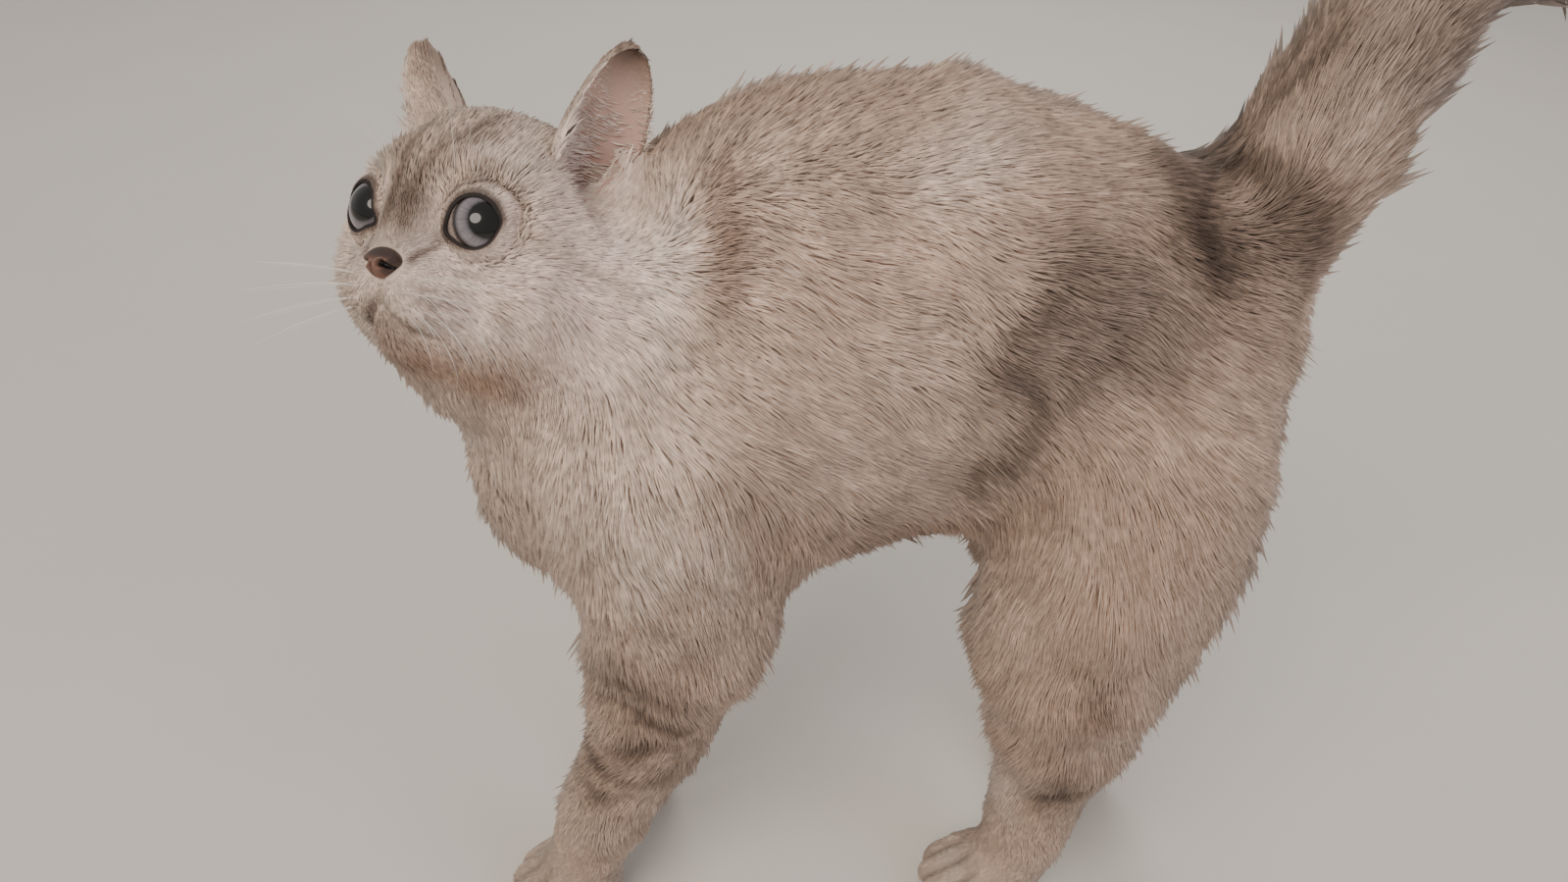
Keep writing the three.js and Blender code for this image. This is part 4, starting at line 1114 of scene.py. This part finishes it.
# Under the wet, clear front, which gives one small sharp light, the iris is matt and finely streaked.
eye_glass, tree, shader = new_material("wet_eyeball")
polar = add_node(tree, "ShaderNodeAttribute", attribute_name="polar").outputs["Fac"]
around = add_node(tree, "ShaderNodeAttribute", attribute_name="around").outputs["Vector"]
fibres = add_node(tree, "ShaderNodeTexNoise", {"Vector": around, "Scale": FIBRES, "Detail": 4.0}).outputs[0]
wander = add_node(tree, "ShaderNodeMath", {0: fibres, 1: 0.03, 2: -0.015}, operation="MULTIPLY_ADD")
shifted = add_node(tree, "ShaderNodeMath", {0: polar, 1: wander.outputs[0]}, operation="ADD")
bands = add_node(tree, "ShaderNodeValToRGB", {"Fac": shifted.outputs[0]})
while len(bands.color_ramp.elements) < len(EYE_BANDS):
    bands.color_ramp.elements.new(1)
for stop, (degrees, shade) in zip(bands.color_ramp.elements, EYE_BANDS):
    stop.position = degrees / BANDS_END
    stop.color = rgba(shade)
join(tree, shader, {
    "Base Color": uneven(tree, bands.outputs["Color"], fibres, 0.72, 1.15), "Roughness": 0.5,
    "Specular IOR Level": 0.1, "Coat Weight": 1.0, "Coat Roughness": 0.03,
})

directions, faces = globe(64, 96)
polar = np.degrees(np.arccos(np.clip(directions[:, 0], -1, 1)))
bulge = CORNEA_BULGE * bell(polar, CORNEA_HALF)
for side, side_name in ((1, "left"), (-1, "right")):
    looks, aside, over = eye_axes(side, *GAZE[side_name])
    ball = directions * (EYE_RADIUS + bulge)[:, None] @ np.stack([looks, aside, over])
    eye_points = from_head(ball + np.array(EYE_AT) * (1, side, 1))
    eye = new_object(f"eyeball_{side_name}", eye_points, faces[:, ::side], eye_glass)
    spokes = np.stack([directions[:, 1], directions[:, 2], polar * 0], 1)
    spokes = unit(spokes) * FIBRE_REACH + (0, 0, FIBRE_DRIFT) * polar[:, None]
    store(eye.data, "polar", polar / BANDS_END)
    store(eye.data, "around", spokes)
    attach(eye, RIDES_ON)
    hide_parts(f"eye_{side_name}")

# ---------------------------------------------------------------- nose
# The nose's bare leather: a small pebbled pad, brick pink with a dark outline, a groove down its middle and
# a comma-shaped nostril each side. It is set in the fur at the end of the muzzle.
NOSE_HALF = (5.0, 6.1, 4.5)  # ahead, aside and up
NOSTRIL = ((2.5, -0.2), (5.2, -1.2))  # from, to: aside and up from the middle
NOSTRIL_DEPTH, NOSTRIL_HALF = 2.6, 0.85
GROOVE_DEPTH, GROOVE_HALF = 0.7, 0.5
WING_RISE, WING_OFF, WING_HALF = 0.35, 1.5, 0.7  # the swelling round each nostril
LEATHER, LEATHER_EDGE, NOSTRIL_SHADE = "#6f4e41", "#2b1f1b", "#0b0606"

directions, faces = globe(72, 96)
ahead, aside, up = directions.T
nose_y = NOSE_HALF[1] * aside * (0.55 + 0.45 * smoothstep(-0.9, 0.4, up))
nose_z = NOSE_HALF[2] * up
nose_x = NOSE_HALF[0] * ahead * (1 - 0.3 * np.maximum(up, 0)) + 0.5 * smoothstep(0.2, -0.6, up)
flat_nose = np.stack([np.abs(nose_y), nose_z], 1)
off_nostril, along_nostril = from_line(flat_nose, NOSTRIL)
nostril = bell(off_nostril, NOSTRIL_HALF * (1.15 - 0.6 * along_nostril)) * (ahead > 0)
groove = bell(nose_y, GROOVE_HALF) * smoothstep(1.5, -1, nose_z) * (ahead > 0)
wing = bell(off_nostril - WING_OFF, WING_HALF) * (ahead > 0)
nose_x += WING_RISE * wing - NOSTRIL_DEPTH * nostril - GROOVE_DEPTH * groove
nose_points = from_head(np.stack([nose_x, nose_y, nose_z], 1) + NOSE_AT)

# Damp leather has a low, broken gleam between pebbles about half a millimetre wide.
NOSE_PEBBLES, NOSE_PEBBLE_DEPTH = 1.7 / MM, 0.12 * MM
nose_leather, tree, shader = new_material("nose_leather")
hue = add_node(tree, "ShaderNodeAttribute", attribute_name="coat")
place = add_node(tree, "ShaderNodeTexCoord").outputs["Object"]
pebbles = add_node(tree, "ShaderNodeTexVoronoi", {"Vector": place, "Scale": NOSE_PEBBLES}).outputs["Distance"]
bump = add_node(tree, "ShaderNodeBump", {"Height": pebbles, "Strength": 0.5, "Distance": NOSE_PEBBLE_DEPTH})
join(tree, shader, {
    "Base Color": hue.outputs["Color"], "Normal": bump.outputs["Normal"], "Roughness": 0.42,
    "Coat Weight": 0.15, "Coat Roughness": 0.3,
})

colours = np.tile(linear(LEATHER), (len(nose_points), 1))
at_edge = np.maximum(smoothstep(-0.05, 0.55, up), smoothstep(0.5, 0.8, np.abs(aside)))
colours = tinted(colours, LEATHER_EDGE, 0.9 * at_edge)
# Painted shade in the nostrils and down the groove, where the leather sinks.
colours = tinted(colours, NOSTRIL_SHADE, smoothstep(0.15, 0.6, nostril))
colours *= (1 - 0.35 * groove)[:, None]
nose = new_object("nose_pad", nose_points, faces, nose_leather)
paint(nose, colours)
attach(nose, RIDES_ON)
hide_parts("nose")

# ---------------------------------------------------------------- pads
# Under each paw a bare three-lobed palm pad and four toe pads of thick, fine-grained dark leather. They
# bear on the floor and run up into the paw.
PALM_HALF, PALM_BEHIND = (8.5, 9.0), 4
TOE_PAD_HALF, TOE_PAD_BEHIND = (4.4, 3.4), 4.5
PAD_THICK = 4.2
PALM_LOBES, PAD_BACK_WIDER, PAD_FLAT = 0.1, 0.08, 2.2
OUTER_TOES_SHORTER = 5
PAD_DULL, PAD_FRESH = "#4a3a38", "#6d5550"

# Thick dry leather is rougher and duller than the nose's, with flushes of paler skin.
PAD_PEBBLES, PAD_PEBBLE_DEPTH = 1.2 / MM, 0.2 * MM  # one in 0.8 mm
PAD_FLUSHES = 0.14 / MM  # one in 7 mm
pad_leather, tree, shader = new_material("pad_leather")
place = add_node(tree, "ShaderNodeTexCoord").outputs["Object"]
pebbles = add_node(tree, "ShaderNodeTexVoronoi", {"Vector": place, "Scale": PAD_PEBBLES}).outputs["Distance"]
bump = add_node(tree, "ShaderNodeBump", {"Height": pebbles, "Strength": 0.6, "Distance": PAD_PEBBLE_DEPTH})
flush = add_node(tree, "ShaderNodeTexNoise", {"Vector": place, "Scale": PAD_FLUSHES, "Detail": 3.0})
tones = {0: flush.outputs["Fac"], 6: rgba(PAD_DULL), 7: rgba(PAD_FRESH)}
tone = add_node(tree, "ShaderNodeMix", tones, data_type="RGBA")
join(tree, shader, {"Base Color": tone.outputs[2], "Normal": bump.outputs["Normal"], "Roughness": 0.55})

directions, faces = globe(20, 40)
pad_ways = directions[:, [1, 2, 0]]
turn = np.arctan2(pad_ways[:, 1], pad_ways[:, 0])
for paw, ((x, y), reach) in zip(("fore_left", "fore_right", "hind_left", "hind_right"), PAWS):
    shapes = [(x + PALM_BEHIND, y, PALM_HALF, PALM_LOBES)]
    for place in (-1.5, -0.5, 0.5, 1.5):
        ahead = reach - (OUTER_TOES_SHORTER if abs(place) > 1 else 0) - TOE_PAD_BEHIND
        shapes.append((x - ahead, y + place * TOES_APART, TOE_PAD_HALF, 0.0))
    pad_points = []
    for pad_x, pad_y, (half_x, half_y), lobes in shapes:
        wide = 1 + lobes * np.cos(3 * turn) - PAD_BACK_WIDER * pad_ways[:, 0]
        height = np.where(pad_ways[:, 2] < 0, -np.abs(pad_ways[:, 2]) ** PAD_FLAT, pad_ways[:, 2])
        pad_points.append(np.stack([
            pad_x + half_x * wide * pad_ways[:, 0],
            pad_y + half_y * wide * pad_ways[:, 1],
            PAD_THICK / 2 * (1 + height),
        ], 1) * MM)
    pad_faces = np.concatenate([faces + number * len(directions) for number in range(len(shapes))])
    pads = new_object(f"pads_{paw}", np.concatenate(pad_points), pad_faces, pad_leather)
    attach(pads, RIDES_ON)

# ---------------------------------------------------------------- whiskers
# Stiff, tapered white hairs rooted in four rows on each whisker pad, with three more over each eye. Each
# is gently bowed.
WHISKER_ROWS, WHISKER_COLUMNS = 4, 3
WHISKER_ACROSS, WHISKER_DOWN = 3.1, 3.1  # between the roots of a row, and between rows
BROW_WHISKERS = 3
WHISKER_LONG, BROW_LONG = 38, 24  # millimetres
WHISKER_ROOT, WHISKER_TIP = "#d8d0c8", "#f4f1ec"
roots, directions, lengths = [], [], []
for row in range(WHISKER_ROWS):
    for column in range(WHISKER_COLUMNS):
        roots.append((41.5 - column * 2.6, 8 + column * WHISKER_ACROSS, -13.5 - row * WHISKER_DOWN))
        directions.append((0.45 - 0.12 * column, 1, -0.05 - 0.17 * row))
        lengths.append(WHISKER_LONG - 4 * abs(row - 1.3) - 3 * abs(column - 1.2))
for number in range(BROW_WHISKERS):
    roots.append((33 - 2 * number, 13 + 3 * number, 20))
    directions.append((0.7, 0.3 + 0.25 * number, 1))
    lengths.append(BROW_LONG - 2 * number)
roots, directions, lengths = (np.array(values, float) for values in (roots, directions, lengths))
both_roots = np.concatenate([roots, roots * (1, -1, 1)])
both_roots = np.array([bare_face.find_nearest(Vector(place))[0] for place in from_head(both_roots)])
both_ways = unit(np.concatenate([directions, directions * (1, -1, 1)])) @ head_axes
both_lengths = np.tile(lengths, 2) * MM

# Stiff white keratin has a thin bright gleam, and its tips are the whitest.
whisker_keratin, tree, shader = new_material("whisker_keratin")
along_hair = add_node(tree, "ShaderNodeAttribute", attribute_name="along")
tones = {0: along_hair.outputs["Fac"], 6: rgba(WHISKER_ROOT), 7: rgba(WHISKER_TIP)}
tone = add_node(tree, "ShaderNodeMix", tones, data_type="RGBA")
join(tree, shader, {"Base Color": tone.outputs[2], "Roughness": 0.35})

follicles = bpy.data.meshes.new("follicles")
follicles.from_pydata(both_roots.tolist(), [], [])
store(follicles, "way", both_ways)
store(follicles, "length", both_lengths)
whiskers = placed("follicles", follicles)

# The tree: one hair, bent and tapered, is set on each root, turned and scaled, and made solid.
tree = bpy.data.node_groups.new("whisker_growth", "GeometryNodeTree")
tree.interface.new_socket("Geometry", in_out="INPUT", socket_type="NodeSocketGeometry")
settings = {"Slenderness": 0.0042, "Bend": 0.2, "Unevenness": 0.12}
sockets = {}
for name, value in settings.items():
    sockets[name] = tree.interface.new_socket(name, in_out="INPUT", socket_type="NodeSocketFloat")
    sockets[name].default_value = value
tree.interface.new_socket("Geometry", in_out="OUTPUT", socket_type="NodeSocketGeometry")
given = add_node(tree, "NodeGroupInput").outputs
handle = add_node(tree, "ShaderNodeCombineXYZ", {"Y": given["Bend"], "Z": 0.5}).outputs[0]
stem = add_node(tree, "GeometryNodeCurveQuadraticBezier", {
    "Resolution": 14, "Start": (0, 0, 0), "Middle": handle, "End": (0, 0, 1),
}).outputs[0]
share = add_node(tree, "GeometryNodeSplineParameter").outputs["Factor"]
stem = add_node(tree, "GeometryNodeStoreNamedAttribute", {
    "Geometry": stem, "Name": "along", "Value": share,
}, data_type="FLOAT", domain="POINT").outputs[0]
taper = add_node(tree, "ShaderNodeMapRange", {"Value": share, "To Min": 1.0, "To Max": 0.12}).outputs[0]
profile = add_node(tree, "GeometryNodeCurvePrimitiveCircle", {"Resolution": 6, "Radius": 1.0}).outputs[0]
thick = add_node(tree, "ShaderNodeMath", {0: taper, 1: given["Slenderness"]}, operation="MULTIPLY").outputs[0]
hair = add_node(tree, "GeometryNodeCurveToMesh", {
    "Curve": stem, "Profile Curve": profile, "Scale": thick, "Fill Caps": True,
}).outputs[0]
way, reach = (
    add_node(tree, "GeometryNodeInputNamedAttribute", {"Name": name}, data_type=kind).outputs[0]
    for name, kind in (("way", "FLOAT_VECTOR"), ("length", "FLOAT"))
)
least, most = (
    add_node(tree, "ShaderNodeMath", {0: 1.0, 1: given["Unevenness"]}, operation=operation).outputs[0]
    for operation in ("SUBTRACT", "ADD")
)
chance = add_node(tree, "FunctionNodeRandomValue", {2: least, 3: most, "Seed": 5}, data_type="FLOAT")
scale = add_node(tree, "ShaderNodeMath", {0: reach, 1: chance.outputs[1]}, operation="MULTIPLY").outputs[0]
turned = add_node(tree, "FunctionNodeAlignRotationToVector", {"Vector": way}, axis="Z").outputs[0]
planted = add_node(tree, "GeometryNodeInstanceOnPoints", {
    "Points": given["Geometry"], "Instance": hair, "Rotation": turned, "Scale": scale,
}).outputs[0]
solid = add_node(tree, "GeometryNodeRealizeInstances", {0: planted}).outputs[0]
dressed = {"Geometry": solid, "Material": whisker_keratin}
add_node(tree, "NodeGroupOutput", {0: add_node(tree, "GeometryNodeSetMaterial", dressed).outputs[0]})

growth = whiskers.modifiers.new("growth", "NODES")
growth.node_group = tree
for name, value in settings.items():
    growth[sockets[name].identifier] = value
grown = bpy.data.meshes.new_from_object(whiskers.evaluated_get(bpy.context.evaluated_depsgraph_get()))
whiskers.modifiers.remove(growth)
bpy.data.objects.remove(whiskers)
grown.name = "whiskers"
whiskers = placed("whiskers", grown)
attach(whiskers, RIDES_ON)
